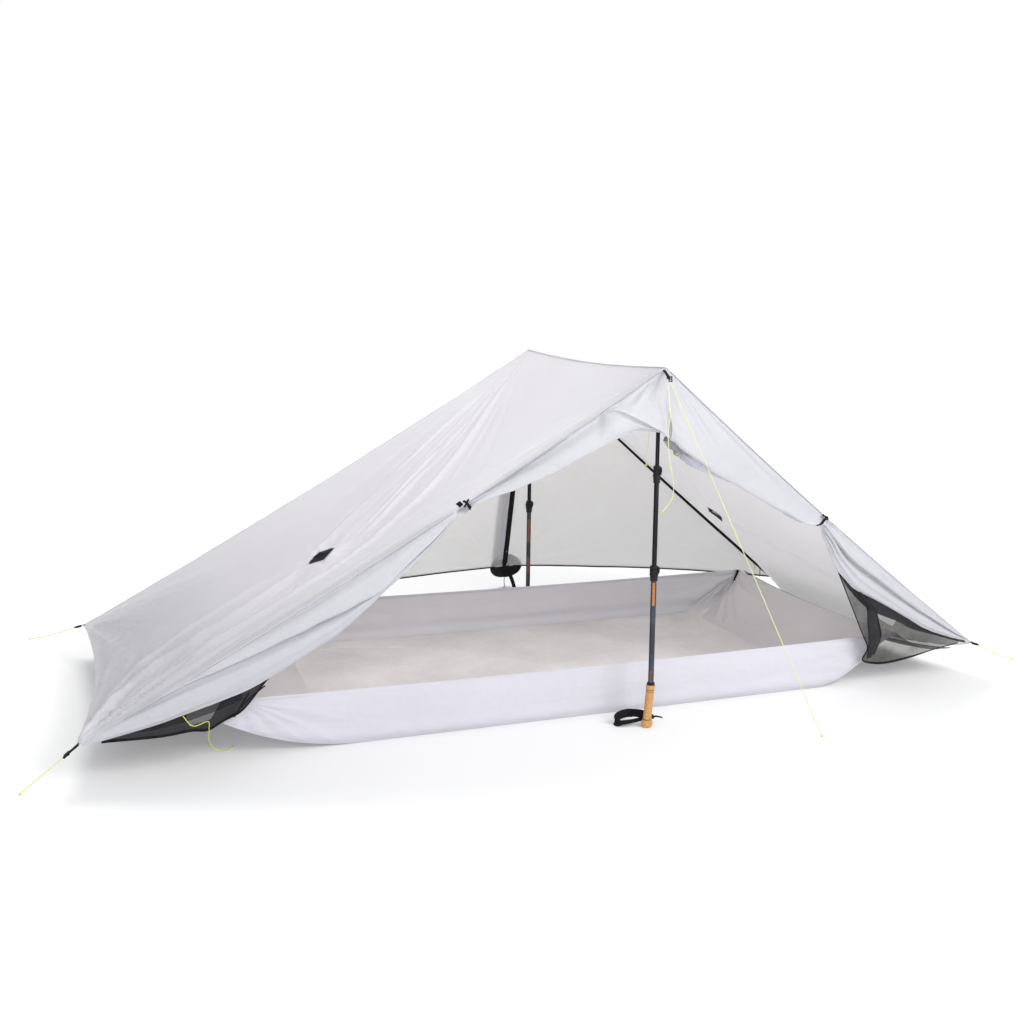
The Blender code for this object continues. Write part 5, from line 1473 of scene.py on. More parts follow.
# ============================================================================
# Side tie-out patches
# ============================================================================
def tieout(name, P, u, v, node, tag):
    """A square of stiff webbing fabric sewn on at an angle, with a pull loop across it."""
    q = node
    co = np.array([w.co for w in NODES[q].data.vertices], float)
    c = co.mean(0)
    e = np.linalg.eigh(np.cov((co - c).T))[1]
    nrm = e[:, 0] if e[2, 0] > 0 else -e[:, 0]
    f = left_f if tag == "left" else right_f
    eps = 1e-3
    du = unit(f(u + eps, v) - f(u, v))
    dv = f(u, v + eps) - f(u, v)
    n = np.cross(du, dv)
    n = unit(n if n[2] > 0 else -n)
    dv = np.cross(n, du)
    turn = math.radians(45 if tag == "left" else -45)
    sgn = 1 if (f(u, v + eps) - f(u, v)) @ dv > 0 else -1
    ax = unit(du * math.cos(turn) + sgn * dv * math.sin(turn))
    ay = np.cross(n, ax)
    U, V = grid(22, 22)
    a, b = (2 * U - 1) * .037, (2 * V - 1) * .037
    rr = np.hypot(a, b)
    z = .0052 + .0050 * np.exp(-(rr / .018) ** 2) - .10 * np.maximum(rr - .030, 0)
    z = z + .0011 * noise(a * 60, b * 60, 801)
    if tag == "left":
        c = f(u, v) + n * .0135
    Pp = c[None, None] - n * .0042 + a[..., None] * ax + b[..., None] * ay + n * z[..., None]
    patch = slab(name + "_a", Pp, .0014, M_WEB)
    loop = ribbon(name + "_b", smooth([c + ax * -.030 + n * .0045, c + ax * -.014 + n * .0075, c + ax * .0 + n * .0120, c + ax * .014 + n * .0075, c + ax * .030 + n * .0045], 26),
                  n, .0125, .0017, M_WEB)
    st = [ribbon(name + "_c%d" % k, np.array([c + ax * s0 * .033 + ay * s1 * .033 + n * .0030, c + ax * s2 * .033 + ay * s3 * .033 + n * .0030]), n, .0010, .0006, M_BIND, sides=6)
          for k, (s0, s1, s2, s3) in enumerate(((-1, -1, 1, -1), (1, -1, 1, 1), (1, 1, -1, 1), (-1, 1, -1, -1)))]
    ob = joined(name, [patch, loop] + st)
    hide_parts(node)
    return ob


tieout("tieout_left", PL, .583, .345, "left_tieout_patch", "left")
tieout("tieout_right", PR, .615, .790, "right_tieout_patch", "right")


# ============================================================================
# Peaks: webbing tab with its grommet, line lock, gable zipper
# ============================================================================
def peak(name, tip, out, reach, node):
    """The tab is doubled webbing, bent a little, with an eyelet for the pole's tip."""
    y = out
    M = Matrix.Translation(Vector(tip))
    far = reach
    tab = []
    # the tab as two strips either side of the eyelet and two solid ends, one outline with a hole
    n = 40
    a = np.linspace(0, 2 * math.pi, n, endpoint=False)
    hole = np.stack([.0058 * np.cos(a), .0058 * np.sin(a)], 1)
    w, y0, y1 = (.0088 if far > .02 else .0130), -.013, far
    k = 1 / np.maximum(np.abs(np.cos(a)) / w, np.where(np.sin(a) > 0, np.abs(np.sin(a)) / .0130, np.abs(np.sin(a)) / .0130))
    box_ = np.stack([k * np.cos(a), k * np.sin(a)], 1)
    R = []
    for i in range(6):
        R.append(hole * (1 - i / 5) + box_ * (i / 5))
    R = np.array(R)
    P = np.concatenate([R, R[:, :1]], 1)
    P3 = np.stack([P[..., 0], P[..., 1], np.full(P.shape[:2], .0011)], -1)
    tab.append(slab(name + "_a", P3, .0024, M_WEB, M=M, angle=45))
    if far > .02:
        q = smooth([(.0010, y * .0140, .0240), (-.0010, y * .0260, .0225), (-.0045, y * .044, .0170), (-.0080, y * .062, .0095), (-.0098, y * .0745, .0045), (-.0100, y * .0790, .0010), (-.0100, y * .0765, -.0035)], 40)
        tab.append(ribbon(name + "_b", q, A(0, y * .35, 1), .0100, .0024, M_WEB, M=M))
        q = smooth([(.0004, y * .0200, .0200), (-.002, y * .034, .0165), (-.0055, y * .050, .0120), (-.0085, y * .064, .0060), (-.0098, y * .0720, .0012), (-.0100, y * .0700, -.0040)], 30)
        tab.append(ribbon(name + "_c", q, A(0, y * .35, 1), .0085, .0019, M_WEB, M=M))
    else:
        q = smooth([(0, y * .012, .0011), (0, y * .018, .0009), (0, y * (far - .001), -.0012)], 12)
        tab.append(ribbon(name + "_b", q, UP, .0255, .0024, M_WEB, M=M))
    body = joined(name, tab)
    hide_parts(node)
    eye = lathe(name + "_eyelet", [(.0050, .0032), (.0058, .0037), (.0074, .0036), (.0084, .0028), (.0074, .0024), (.0058, .0022), (.0056, .0010),
                                   (.0058, .0000), (.0074, -.0003), (.0084, -.0006), (.0074, -.0014), (.0058, -.0014), (.0050, -.0008)], M_STEEL, SHELTER, M, 36, closed=True)
    return body, eye


peak("peak_tab_near", NEAR_TIP, -1, .074, "near_peak_grommet")
peak("peak_tab_far", FAR_TIP, 1, .020, "far_peak_grommet")


def line_lock(name, M, s, body=SHELTER):
    """A two-bar cord adjuster: a frame, its bars and its thumb lip."""
    w, l, h = s
    b = .0011
    parts = [chunk(name + "_a", (w * .18, l, h * .72), M @ Matrix.Translation((-w * .41, 0, 0)), M_PLASTIC, body, b),
             chunk(name + "_b", (w * .18, l, h * .72), M @ Matrix.Translation((w * .41, 0, 0)), M_PLASTIC, body, b),
             chunk(name + "_c", (w * .96, l * .17, h * .60), M @ Matrix.Translation((0, -l * .40, 0)), M_PLASTIC, body, b),
             chunk(name + "_d", (w * .96, l * .15, h * .62), M @ Matrix.Translation((0, 0, h * .06)), M_PLASTIC, body, b * .8),
             chunk(name + "_e", (w * 1.0, l * .20, h * .95), M @ Matrix.Translation((0, l * .40, h * .02)), M_PLASTIC, body, b)]
    for k in (-1, 0, 1):
        parts.append(chunk(name + "_t%d" % (k + 1), (w * .09, l * .10, h * .16), M @ Matrix.Translation((w * .18 * k, 0, h * .40)), M_PLASTIC, body, .0004, 2))
    return joined(name, parts, body)


lk = line_lock("peak_line_lock", place((.0850, -.6925, 1.1465), (1, 0, 0), (0, -1, .18)), (.0120, .0180, .0075))
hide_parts("near_peak_line_lock")

# gable zipper: tape and coil in a shallow valley from the peak down to the turned edge
gz = smooth([NP + A(.001, -.004, -.010), NP + A(.002, -.012, -.050), NP + A(.004, -.024, -.110), NP + A(.005, -.036, -.170), GABLE + A(0, -.002, .004)], 70)
ribbon("gable_zipper_tape", gz + A(0, -.0016, 0), A(0, -1, .2), .0125, .0016, M_SEAM)
ribbon("gable_zipper_teeth", gz + A(0, -.0030, 0), A(0, -1, .2), .0038, .0020, M_HEM)
zg = place(tuple(gz[-7] + A(0, -.0050, 0)), (1, 0, 0), (0, -.18, 1))
gs = zip_slider("gable_zip_slider", None, zg @ Matrix.Rotation(math.pi, 4, 'Z'), SHELTER, .7, False, M_HEM)


# ============================================================================
# Toggles, each across its elastic loop
# ============================================================================
def toggle(name, at, d, node, body, loop):
    z = Vector(d).normalized()
    M = Matrix.Translation(Vector(at)) @ Matrix((z.cross(Vector((0, 1, 0))).normalized(), z.cross(z.cross(Vector((0, 1, 0))).normalized()), z)).transposed().to_4x4()
    bar = lathe(name, [(0, .0140), (.0018, .0139), (.0029, .0127), (.0032, .0102), (.0030, .0066), (.0027, .0040), (.0023, .0026), (.0022, -.0026), (.0027, -.0040),
                       (.0030, -.0066), (.0032, -.0102), (.0029, -.0127), (.0018, -.0139), (0, -.0140)], M_PLASTIC, body, M, 28)
    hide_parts(node)
    # webbing loop from the bar down over the gathered cloth
    q = smooth(loop, 40)
    el = ribbon(name + "_loop", q, unit(A(0, -1, .15)), .0082 + .0022 * np.linspace(0, 1, len(q)), .0022, M_WEB, None)
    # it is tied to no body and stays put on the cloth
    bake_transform(el)
    return bar


atl = A(-.5552, -.642, .7733)
atr = A(.7512, -.6335, .6730)
zl = unit(A(.60, 0, .80))
toggle("toggle_left", atl, (.49, 0, .87), "left_door_toggle", NODES["left_door_toggle"]["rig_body"],
       [atl + A(-.005, .016, .004), atl + A(-.0025, .0040, .0030), atl + A(.000, -.0045, .0000), atl + A(.0050, -.0050, -.0062), atl + A(.0105, -.0040, -.0140), atl + A(.0130, .0050, -.0180), atl + A(.0115, .0170, -.0165)])
toggle("toggle_right", atr, (-.77, 0, .63), "right_door_toggle", NODES["right_door_toggle"]["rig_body"],
       [atr + A(.0035, .016, .0050), atr + A(.0015, .0040, .0030), atr + A(-.0005, -.0062, .0000), atr + A(-.0080, -.0074, -.0100), atr + A(-.016, -.0066, -.0195), atr + A(-.0250, -.0056, -.0235), atr + A(-.0320, .0010, -.0262), atr + A(-.0300, .0120, -.0240)])
# webbing that holds the loop's ends, with its small stitched square on the canopy
for tag, t0, f, line, v in (("left", .375, left_f, near_l, .029),):
    n = unit(A(-.28, -.62, .73))
    p = A(-.5690, -.617, .7665)
    du = unit(np.cross(n, unit(A(.62, 0, .62))))
    sq = ribbon("loop_square_" + tag, np.array([p - du * .0082, p + n * .0008, p + du * .0082]), n, .0165, .0020, M_WEB)
for tag, T, sx in (("right", TR, -1),):
    q = smooth([T + A(0, .004, .004), T + A(0, -.004, .003), T + A(0, -.009, -.003), T + A(0, -.006, -.010), T + A(0, .002, -.012)], 24)
    tb = ribbon("loop_anchor_" + tag, q, A(0, -.6, .6), .0110, .0017, M_WEB)


# ============================================================================
# Corner webbings, line locks and cords
# ============================================================================
def axes(at, stake):
    d = unit(stake - at)
    side = unit(np.cross(d, UP))
    return d, side, np.cross(side, d)


def corner(tag, at, stake, web, lock=True):
    d, side, up = axes(at, stake)
    w0 = at + d * .008
    end = w0 + d * web
    pts = [w0 - d * .016 + up * .0020, w0 - d * .004 + up * .0020, w0 + d * web * .5 + up * .0014, end + d * .0015 + up * .0016,
           end + d * (.0040 if lock else .0015), end + d * .0015 - up * .0016, w0 + d * web * .5 - up * .0012, w0 - d * .004 - up * .0014, w0 - d * .014 - up * .0014]
    q = smooth(pts, 60)
    n = np.cross(unit(np.gradient(q, axis=0)), side)
    ob = ribbon("corner_strap_" + tag, q, n, .0158, .0015, M_WEB)
    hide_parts("corner_webbing_" + tag)
    if not lock:
        return end, d, side, up
    c = w0 + d * (web + .0085 + .0004)
    M = Matrix.Translation(Vector(c)) @ Matrix((Vector(side), Vector(-d), Vector(np.cross(side, -d)))).transposed().to_4x4()
    lo = line_lock("corner_lock_" + tag, M, (.0205, .0180, .0090))
    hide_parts("line_lock_" + tag)
    return w0 + d * (web + .017 + .0008), d, side, up


def cord_length(q):
    return float(np.linalg.norm(np.diff(q, axis=0), axis=1).sum())


CORDS = []


def cord(name, pts, n, radius, node, sub=3, mat=None):
    """A cord's own route, the one its CAD solid follows."""
    q = smooth(pts, n)
    fine = smooth(q, n * sub)
    ob = tube(name, fine, radius, mat or M_CORD, SHELTER, 10)
    L = cord_length(fine)
    if node:
        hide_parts(node)
    CORDS.append((name, round(L, 3), 2 * radius))
    return ob


def knot(name, at, r, seed, body=SHELTER, mat=None, squash=.8):
    """A small overhand knot: one strand wound on itself."""
    t = np.linspace(0, 2 * math.pi, 64)
    x = np.sin(t) + 2 * np.sin(2 * t)
    y = np.cos(t) - 2 * np.cos(2 * t)
    z = -np.sin(3 * t)
    q = np.stack([x, y, z * 1.3], 1) * (r / 3.1) * A(1, squash, squash)
    a = math.radians(37 * seed)
    R = np.array(Matrix.Rotation(a, 3, 'Z') @ Matrix.Rotation(.7 * seed, 3, 'X'))
    q = q @ R.T + np.asarray(at, float)
    q[:, 2] = np.maximum(q[:, 2], .0014)
    ob = tube(name, q, r * .34, mat or M_CORD, body, 8)
    return ob


def corner_points(start, stake, droop):
    l = lambda k: start * (1 - k) + stake * k
    return [start, l(.05), l(.35) - A(0, 0, droop), l(.72) - A(0, 0, droop), stake]


s0, d, _, up = corner("near_left", NL, STAKE_NL, .020)
kn = knot("knot_near_left", STAKE_NL + d * .0005 + A(0, 0, .0005), .0034, 1)
cord("cord_near_left", corner_points(s0 + d * .0012, STAKE_NL, 0.0), 16, .00125, "corner_cord_near_left")
s0, d, _, up = corner("far_left", FL, STAKE_FL, .026)
kn = knot("knot_far_left", STAKE_FL + A(0, 0, .0005), .0034, 2)
cord("cord_far_left", corner_points(s0 + d * .0012, STAKE_FL, .004), 24, .00125, "corner_cord_far_left")
s0, d, _, up = corner("near_right", NR, STAKE_NR, .026)
kn = knot("knot_near_right", STAKE_NR + A(0, 0, .0005), .0034, 3)
cord("cord_near_right", corner_points(s0 + d * .0012, STAKE_NR, .004), 28, .00125, "corner_cord_near_right")
mid = s0 * .52 + STAKE_NR * .48 - A(0, 0, .004)
knot("knot_mid_near_right", mid, .0042, 5)
corner("far_right", FR, A(1.700, .900, 0.0), .055, lock=False)

# near guy line: from the peak's line lock to the ground, and its slack tail
top_ = A(.0790, -.703, 1.1420)
GUY = [GUY_STAKE, GUY_STAKE * .67 + top_ * .33, GUY_STAKE * .34 + top_ * .66, (.0925, -.708, 1.112), (.0790, -.703, 1.139), (.0745, -.701, 1.124),
       (.0800, -.699, 1.098), (.0875, -.698, 1.052), (.0868, -.698, 1.0156), (.0818, -.699, .9898), (.0856, -.700, .9482), (.0932, -.700, .8955),
       (.1115, -.698, .8216), (.1135, -.695, .7763), (.0960, -.692, .7450), (.0800, -.690, .7275)]
g = smooth(GUY, 64)
turn = int(np.argmax(g[:, 2]))
kn = knot("knot_guy_stake", GUY_STAKE + A(0, 0, .0006), .0036, 4)
cord("guyline", g[:turn + 1][::-1], turn, .00125, "near_guyline", sub=2, mat=M_GUY)
kn = knot("knot_guy_tail", g[-1], .0034, 6)
cord("guyline_tail", g[turn:], len(g) - 1 - turn, .00125, "near_guyline", mat=M_GUY)

kn = knot("knot_free_cord", (-1.2315, -.432, .0030), .0036, 7)
cord("free_cord", [(-1.383, -.640, .197), (-1.357, -.640, .164), (-1.314, -.612, .162), (-1.3095, -.580, .126), (-1.308, -.555, .1036), (-1.305, -.500, .0593),
                   (-1.290, -.465, .0188), (-1.268, -.460, .0032), (-1.248, -.456, .0030), (-1.2315, -.432, .0030)], 32, .00125, "left_free_cord")
kn = knot("knot_inner_cord", (.069, -.592, .866), .0040, 8)
cord("inner_cord", [(.072, -.592, 1.130), (.074, -.592, 1.040), (.073, -.592, .960), (.069, -.592, .866)], 22, .0010, "inner_hanging_cord", mat=M_GUY)
rc = A(.149, -.647, .914)
rn = unit(A(.195, -.641, .885) - A(.120, -.641, .944))
ra = unit(np.cross(rn, A(0, 1, 0)))
rb = np.cross(rn, ra)
tie = [rc + (ra * math.cos(a) + rb * math.sin(a)) * .0142 for a in [math.radians(130 + 31 * k) for k in range(11)]]
kn = knot("knot_roll_tie", tie[0] + A(-.001, -.001, .001), .0046, 9)
cord("roll_tie", [tuple(p) for p in tie] + [tuple(tie[-1] + A(-.002, -.003, -.009)), tuple(tie[-1] + A(-.003, -.003, -.022))], 22, .0009, "roll_tie_cord")


# ============================================================================
# Poles
# ============================================================================
def banded(name, colour, fleck, rough, bands, fleck_amount):
    """Lacquered tube: long scuffs, and worn coloured stripes that cover part of the way round."""
    k = Nodes(name)
    w = k.noise(150.0, 5.0, 0.7)
    stretch = k.t.nodes.new("ShaderNodeMapping")
    stretch.inputs["Scale"].default_value = (1.0, 1.0, .35)
    k.t.links.new(k.coord().outputs["Object"], stretch.inputs["Vector"])
    scratch = k.noise(420.0, 4.0, 0.75, vec=stretch)
    tone = k.noise(22.0, 4.0, 0.6)
    c = k.mix(k.rng(tone, 0.35, 0.65, 0.0, 1.0), tuple(x * 0.62 for x in colour), colour)
    for lo, hi, a0, a1, paint, amount in bands:
        z, a = (k.uv(), 0), (k.uv(), 1)
        m = k.math('MULTIPLY', k.math('GREATER_THAN', z, lo), k.math('LESS_THAN', z, hi))
        if a1 - a0 < 6.2:
            m = k.math('MULTIPLY', m, k.math('MULTIPLY', k.math('GREATER_THAN', a, a0 * .0092), k.math('LESS_THAN', a, a1 * .0092)))
        c = k.mix(k.math('MULTIPLY', m, k.rng(w, 0.36, 0.60, amount, amount * 0.45)), c, paint)
    c = k.mix(k.rng(scratch, 0.60, 0.70, 0.0, fleck_amount), c, fleck)
    p = k("BsdfPrincipled", {"Metallic": 0.35, "Roughness": rough, "Coat Weight": 0.10, "Coat Roughness": 0.15, "Specular IOR Level": 0.3},
          Base_Color=c, Normal=k.bump(scratch, 0.06, 0.0002))
    k.put(k.rng(w, 0.3, 0.7, rough - 0.06, rough + 0.16), p.inputs["Roughness"])
    return k.end(p)


ORANGE, RUST = (0.62, 0.22, 0.035), (0.28, 0.085, 0.035)


def pole(tag, tip, foot, strap, bands):
    z = unit(tip - foot)
    L = float(np.linalg.norm(tip - foot))
    x = unit(A(1, 0, 0) - z * z[0])
    M = Matrix.Translation(Vector(tip)) @ Matrix((Vector(x), Vector(np.cross(z, x)), Vector(z))).transposed().to_4x4()
    body = lambda n: NODES[tag + "_" + n]["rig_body"]
    R1, R2, R3, T = .0066, .0080, .0092, .0009
    lock1, lock2, fz = -.312, -.635, -L
    slate = banded(tag + "_slate_shaft", (.052, .066, .082), (.20, .225, .25), .36, bands, .55)

    def put(name, prof, mat, node, closed=False, steps=44):
        ob = lathe(tag + "_" + name, prof, mat, body(node), M, steps, closed)
        return ob
    # lower shaft: hardened tip, ferrule, tube
    o = put("shaft_low", [(0, .0075), (.0010, .0076), (.0016, .0070), (.0019, .0062), (.0030, .0022), (.0035, -.0004), (.0036, -.0030), (.0046, -.0034),
                          (.0052, -.0060), (.0058, -.0180), (.0064, -.0330), (.0066, -.0345), (.0066, -.0352), (.0063, -.0358), (.0063, -.0366), (R1, -.0372),
                          (R1, lock1 - .075), (R1 - T, lock1 - .075), (R1 - T, -.0060), (0, -.0060)], M_SHAFT, "lower_shaft")
    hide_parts(tag + "_lower_shaft")
    top_m, low_m = lock1 - .002, lock2 - .085
    o = put("shaft_mid", [(R2 - .0002, top_m), (R2, top_m - .0003), (R2, low_m), (R2 - T, low_m), (R2 - T, top_m)], M_SHAFT, "middle_shaft", True)
    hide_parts(tag + "_middle_shaft")
    top_u = lock2 - .002
    o = put("shaft_up", [(R3 - .0002, top_u), (R3, top_u - .0003), (R3, fz + .105), (R3 - T, fz + .105), (R3 - T, top_u)], slate, "upper_shaft", True)
    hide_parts(tag + "_upper_shaft")

    def lock(k, mid, rs, rf, ro, half):
        g = .0004
        prof = [(rs + g, mid + half), (rs + .0020, mid + half + .0002), (ro * .86, mid + half - .0006), (ro * .90, mid + half - .0022), (ro * .97, mid + half - .0040),
                (ro, mid + half - .0056), (ro, mid + half * .62), (ro - .0007, mid + half * .60), (ro - .0007, mid + half * .55), (ro, mid + half * .53),
                (ro, mid + half * .10), (ro - .0006, mid + half * .08), (ro - .0006, mid + half * .02), (ro, mid), (ro, mid - half * .28), (ro - .0009, mid - half * .36),
                (rf + .0036, mid - half * .56), (rf + .0034, mid - half * .70), (rf + .0027, mid - half * .73), (rf + .0027, mid - half * .77), (rf + .0032, mid - half * .80),
                (rf + .0030, mid - half * .93), (rf + .0022, mid - half), (rf + g, mid - half), (rf + g, mid + .0005), (rs + g, mid + .0005)]
        parts = [lathe(tag + "_b0", prof, M_PLASTIC, body("lock_%d_body" % k), M, 48, True)]
        bb = body("lock_%d_body" % k)
        zc = mid + half * .42
        # ears of the clamp, its cross screw with a round adjusting knob, and the moulded ribs
        for a_deg, w_ in ((-62, .0062), (-96, .0058)):
            a = math.radians(a_deg)
            Mx = M @ Matrix.Translation((ro * .97 * math.cos(a), ro * .97 * math.sin(a), zc)) @ Matrix.Rotation(a, 4, 'Z')
            parts.append(chunk(tag + "_b1", (.0046, w_, half * .66), Mx, M_PLASTIC, bb, .0011))
        a = math.radians(-150)
        c0 = Vector((ro * math.cos(a), ro * math.sin(a), zc - half * .05))
        Mk = M @ Matrix.Translation(c0) @ Matrix.Rotation(a, 4, 'Z') @ Matrix.Rotation(math.pi / 2, 4, 'Y')
        parts.append(lathe(tag + "_b2", [(0, -.0020), (.0040, -.0020), (.0040, .0012), (.0034, .0016), (.0048, .0020), (.0054, .0026), (.0054, .0050), (.0048, .0056),
                                         (.0020, .0057), (.0018, .0050), (0, .0050)], M_PLASTIC, bb, Mk, 30))
        for k2 in range(9):
            a = math.radians(40 + 18 * k2)
            Mx = M @ Matrix.Translation((ro * math.cos(a), ro * math.sin(a), mid - half * .12)) @ Matrix.Rotation(a, 4, 'Z')
            parts.append(chunk(tag + "_b3", (.0012, .0016, half * .22), Mx, M_PLASTIC, bb, .0004, 2))
        ob = joined("%s_clamp_%d" % (tag, k), parts, bb)
        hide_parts("%s_lock_%d_body" % (tag, k))
        # lever: a curved leaf with a thick hinge end, raised spine and turned-out lip
        U, V = grid(40, 12)
        a = np.radians(-62 + 150 * U)
        r = ro + .0012 + .0013 + .0022 * U * U + .0016 * ease(U, .90, 1.0) - .0004 * (2 * V - 1) ** 2
        zz = zc + (V - .5) * half * (.80 - .16 * ease(U, .55, 1.0))
        P = np.stack([r * np.cos(a), r * np.sin(a), zz], -1)
        lb = body("lock_%d_lever" % k)
        lv = [slab(tag + "_l0", P, .0021, M_PLASTIC, lb, M)]
        U, V = grid(30, 5)
        a = np.radians(-40 + 104 * U)
        P = np.stack([(ro + .0040 + .0020 * U * U) * np.cos(a), (ro + .0040 + .0020 * U * U) * np.sin(a), zc + (V - .5) * half * .30], -1)
        lv.append(slab(tag + "_l1", P, .0011, M_PLASTIC, lb, M))
        a = math.radians(-62)
        lv.append(lathe(tag + "_l2", [(0, half * .40), (.0019, half * .40), (.0024, half * .37), (.0024, -half * .37), (.0019, -half * .40), (0, -half * .40)], M_PLASTIC, lb,
                        M @ Matrix.Translation(((ro + .0030) * math.cos(a), (ro + .0030) * math.sin(a), zc)), 20))
        ob = joined("%s_clamp_lever_%d" % (tag, k), lv, lb)
        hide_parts("%s_lock_%d_lever" % (tag, k))
    lock(1, lock1, R1, R2, .0122, .028)
    lock(2, lock2, R2, R3, .0142, .025)

    gt = fz + .143
    i = R3 + .0004
    gb = body("grip")
    cork = lathe(tag + "_cork_grip", [
        (i, gt - .0030), (.0126, gt - .0028), (.0142, gt - .0030), (.0151, gt - .0042), (.0153, gt - .0065), (.0152, gt - .0100), (.0149, gt - .0125), (.0141, gt - .0165), (.0136, gt - .0195),
        (.0134, gt - .0230), (.0135, gt - .0330), (.0139, gt - .0450), (.0138, gt - .0580), (.0135, gt - .0700), (.0134, gt - .0850), (.0137, gt - .0980), (.0141, gt - .1080),
        (.0142, gt - .1140), (.0141, gt - .1185), (.0143, gt - .1192), (.0160, gt - .1215), (.0178, gt - .1250), (.0186, gt - .1290), (.0187, gt - .1340),
        (.0185, gt - .1378), (.0178, gt - .1410), (.0165, gt - .1428), (0, gt - .1430), (0, gt - .1200), (0, fz + .0112), (i, fz + .0114)], M_CORK, gb, M, 56)
    dark = [lathe(tag + "_g1", [(R3 + .0002, gt + .0062), (.0112, gt + .0060), (.0124, gt + .0048), (.0130, gt + .0010), (.0134, gt - .0026), (.0126, gt - .0034), (R3 + .0002, gt - .0036)],
                  M_PLASTIC, gb, M, 48, True)]
    for zr, rr, hh in ((.0190, .0141, .0013), (.1188, .0147, .0015), (.0250, .0138, .0006)):
        dark.append(lathe(tag + "_g2", [(rr - .0012, gt - zr + hh), (rr, gt - zr + hh * .6), (rr, gt - zr - hh * .6), (rr - .0012, gt - zr - hh)], M_PLASTIC, gb, M, 48, True))
    # it sits at a slight angle on its shaft
    for o in [cork] + dark:
        for v in o.data.vertices:
            v.co.x -= .085 * max(0.0, gt - v.co.z)
    ring = joined(tag + "_grip_rings", dark, gb)
    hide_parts(tag + "_grip")

    if strap:
        c = A(foot[0], foot[1], 0)
        # the far side of the loop stands on edge, the near side lies flat; both start on the grip's left
        q = smooth([c + A(*p) for p in ((-.0100, .0135, .036), (-.026, .0300, .0365), (-.045, .0440, .0355), (-.064, .0500, .0345), (-.084, .0505, .0310), (-.100, .0470, .0250), (-.1085, .0400, .0165),
                                        (-.1010, .0310, .0125), (-.080, .0260, .0130), (-.050, .0230, .0155), (-.028, .0190, .0200), (-.0120, .0125, .0250))], 200)
        s = np.linspace(0, 1, len(q))
        flat_ = ease(s, .50, .66)
        tilt = math.radians(78) * flat_ + .10 * np.sin(s * 9)
        t = unit(np.gradient(q, axis=0))
        flat = unit(np.cross(t, UP))
        upv = flat * np.cos(tilt)[:, None] + UP * np.sin(tilt)[:, None]
        wdt = .0290 - .0050 * flat_
        a_ = ribbon("strap_a", q, upv, wdt, .0021, M_WEB)
        q2 = q[10:64] + flat[10:64] * -.0021
        b_ = ribbon("strap_b", q2, upv[10:64], wdt[10:64] * .94, .0017, M_WEB)
        # padded middle of the loop, and the buckle with its loose end behind the grip
        q3 = q[40:104]
        k3 = np.sin(np.linspace(0, math.pi, len(q3)))
        c_ = ribbon("strap_c", q3 + flat[40:104] * -.0016, upv[40:104], wdt[40:104] + .0016, .0022 + .0022 * k3, M_BIND)
        q4 = smooth([c + A(.0150, .004, .030), c + A(.024, .002, .0310), c + A(.036, .000, .0285), c + A(.047, .001, .0240)], 20)
        d_ = ribbon("strap_d", q4, A(0, -.35, 1), .0085, .0018, M_WEB)
        e_ = chunk("strap_e", (.0080, .0150, .0120), place(tuple(c + A(.0120, .0060, .0300)), (1, -.2, 0), (0, 0, 1)), M_PLASTIC, SHELTER, .0016)
        parts = [a_, b_, c_, d_, e_]
        parts = [o for o in parts]
        st = joined(tag + "_strap", parts, body("wrist_strap"))
        for v in st.data.vertices:
            if v.co.z < .0008:
                v.co.z = .0008
        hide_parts(tag + "_wrist_strap")
    return M


POLE_N = pole("near", NEAR_TIP, NEAR_FOOT, True,
              [(-.742, -.666, 3.75, 4.75, ORANGE, .95), (-1.000, -.958, 3.7, 4.5, RUST, .9), (-.905, -.800, 3.3, 5.1, (.026, .032, .040), .8)])
POLE_F = pole("far", FAR_TIP, FAR_FOOT, False,
              [(-.790, -.690, 3.6, 5.0, RUST, .95), (-.930, -.860, 3.6, 5.0, RUST, .8), (-.850, -.800, 3.3, 5.4, (.026, .032, .040), .8)])


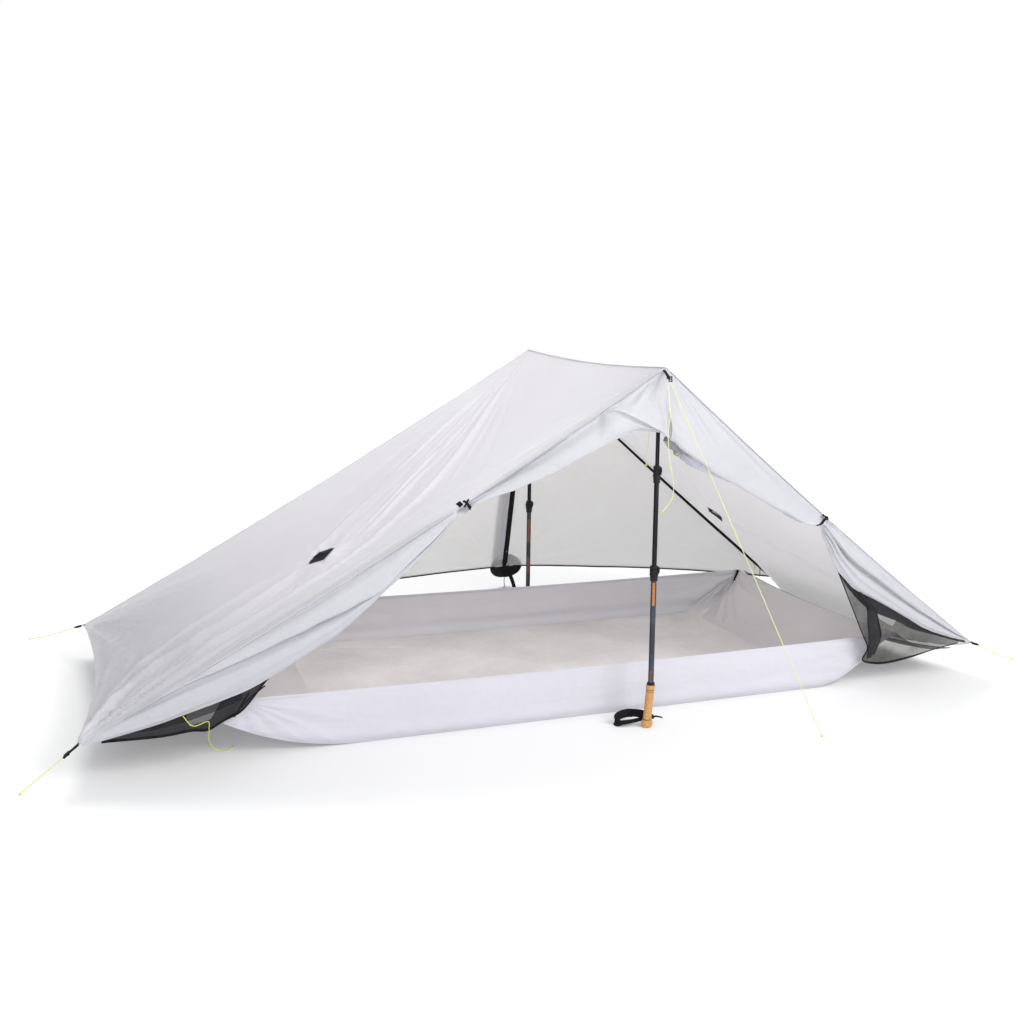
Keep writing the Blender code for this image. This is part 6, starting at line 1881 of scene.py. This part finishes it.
# ============================================================================
# Floor, light
# ============================================================================
def studio():
    k = Nodes("stage_floor")
    g = k.noise(0.8, 3.0)
    p = k("BsdfPrincipled", {"Roughness": 0.95, "Specular IOR Level": 0.05}, Base_Color=k.mix(g, (.835, .835, .838), (.85, .85, .85)))
    # the floor glows, from GLOW[0] at 1.7 m from the middle to GLOW[1] at 4.2 m: painted light that whitens the far
    # floor
    far = k.t.nodes.new("ShaderNodeVectorMath")
    far.operation = 'LENGTH'
    k.t.links.new(k.coord().outputs["Object"], far.inputs[0])
    glow = k.rng((far, "Value"), 1.7, 4.2, GLOW[0], GLOW[1])
    p.inputs["Emission Color"].default_value = (1, 1, 1, 1)
    k.put(glow, p.inputs["Emission Strength"])
    k.end(p)
    fl = add_mesh("stage_floor", [(-30, -30, 0), (30, -30, 0), (30, 30, 0), (-30, 30, 0)], [(0, 1, 2, 3)], None, k.m, None)
    w = bpy.data.worlds.new("studio")
    bpy.context.scene.world = w
    w.use_nodes = True
    t = w.node_tree
    t.nodes.clear()
    out = t.nodes.new("ShaderNodeOutputWorld")
    lp = t.nodes.new("ShaderNodeLightPath")
    amb, cam_ = t.nodes.new("ShaderNodeBackground"), t.nodes.new("ShaderNodeBackground")
    amb.inputs["Color"].default_value = (.97, .985, 1.0, 1)
    amb.inputs["Strength"].default_value = WORLD
    cam_.inputs["Color"].default_value = (1, 1, 1, 1)
    cam_.inputs["Strength"].default_value = 1.0
    mx = t.nodes.new("ShaderNodeMixShader")
    t.links.new(lp.outputs["Is Camera Ray"], mx.inputs[0])
    t.links.new(amb.outputs[0], mx.inputs[1])
    t.links.new(cam_.outputs[0], mx.inputs[2])
    t.links.new(mx.outputs[0], out.inputs[0])
    for name, at, to, size, power, col in LIGHTS:
        l = bpy.data.lights.new(name, 'AREA')
        l.shape, l.size, l.size_y = 'RECTANGLE', size[0], size[1]
        l.energy, l.color = power, col
        o = bpy.data.objects.new(name, l)
        bpy.context.scene.collection.objects.link(o)
        o.location = at
        o.rotation_euler = (Vector(to) - Vector(at)).to_track_quat('-Z', 'Y').to_euler()


WORLD = 0.62
GLOW = (0.10, 0.55)
LIGHTS = [("top", (-.90, 1.9, 3.9), (0, 0, .2), (2.0, 2.0), 80, (1.0, .99, .98)),
          ("key", (1.7, -3.7, 3.3), (0, -.2, .35), (2.0, 2.0), 118, (1.0, .99, .975)),
          ("fill", (-2.8, -5.2, 2.2), (-.2, -.3, .5), (4.0, 2.5), 74, (.97, .985, 1.0))]
studio()
bpy.context.scene.view_settings.view_transform = 'Standard'

# the CAD's own pieces that show through nothing keep a fitting finish
FINISH = {"canopy": M_CANOPY, "door": M_DOOR, "bathtub": M_WALL, "mesh": M_NET, "zipper": M_BIND, "webbing": M_WEB, "strap": M_WEB, "patch": M_WEB, "strip": M_WEB,
          "grommet": M_WEB, "lock": M_PLASTIC, "toggle": M_PLASTIC, "slider": M_PLASTIC, "cord": M_CORD, "guyline": M_CORD, "shaft": M_SHAFT, "grip": M_CORK}
for n, o in NODES.items():
    for key, mat in FINISH.items():
        if key in n:
            o.data.materials.clear()
            o.data.materials.append(mat)
            break

print("SHEETS", SHEETS)
print("CORDS", CORDS)
print("SHOWN CAD", [n for n, o in NODES.items() if not o.hide_render])
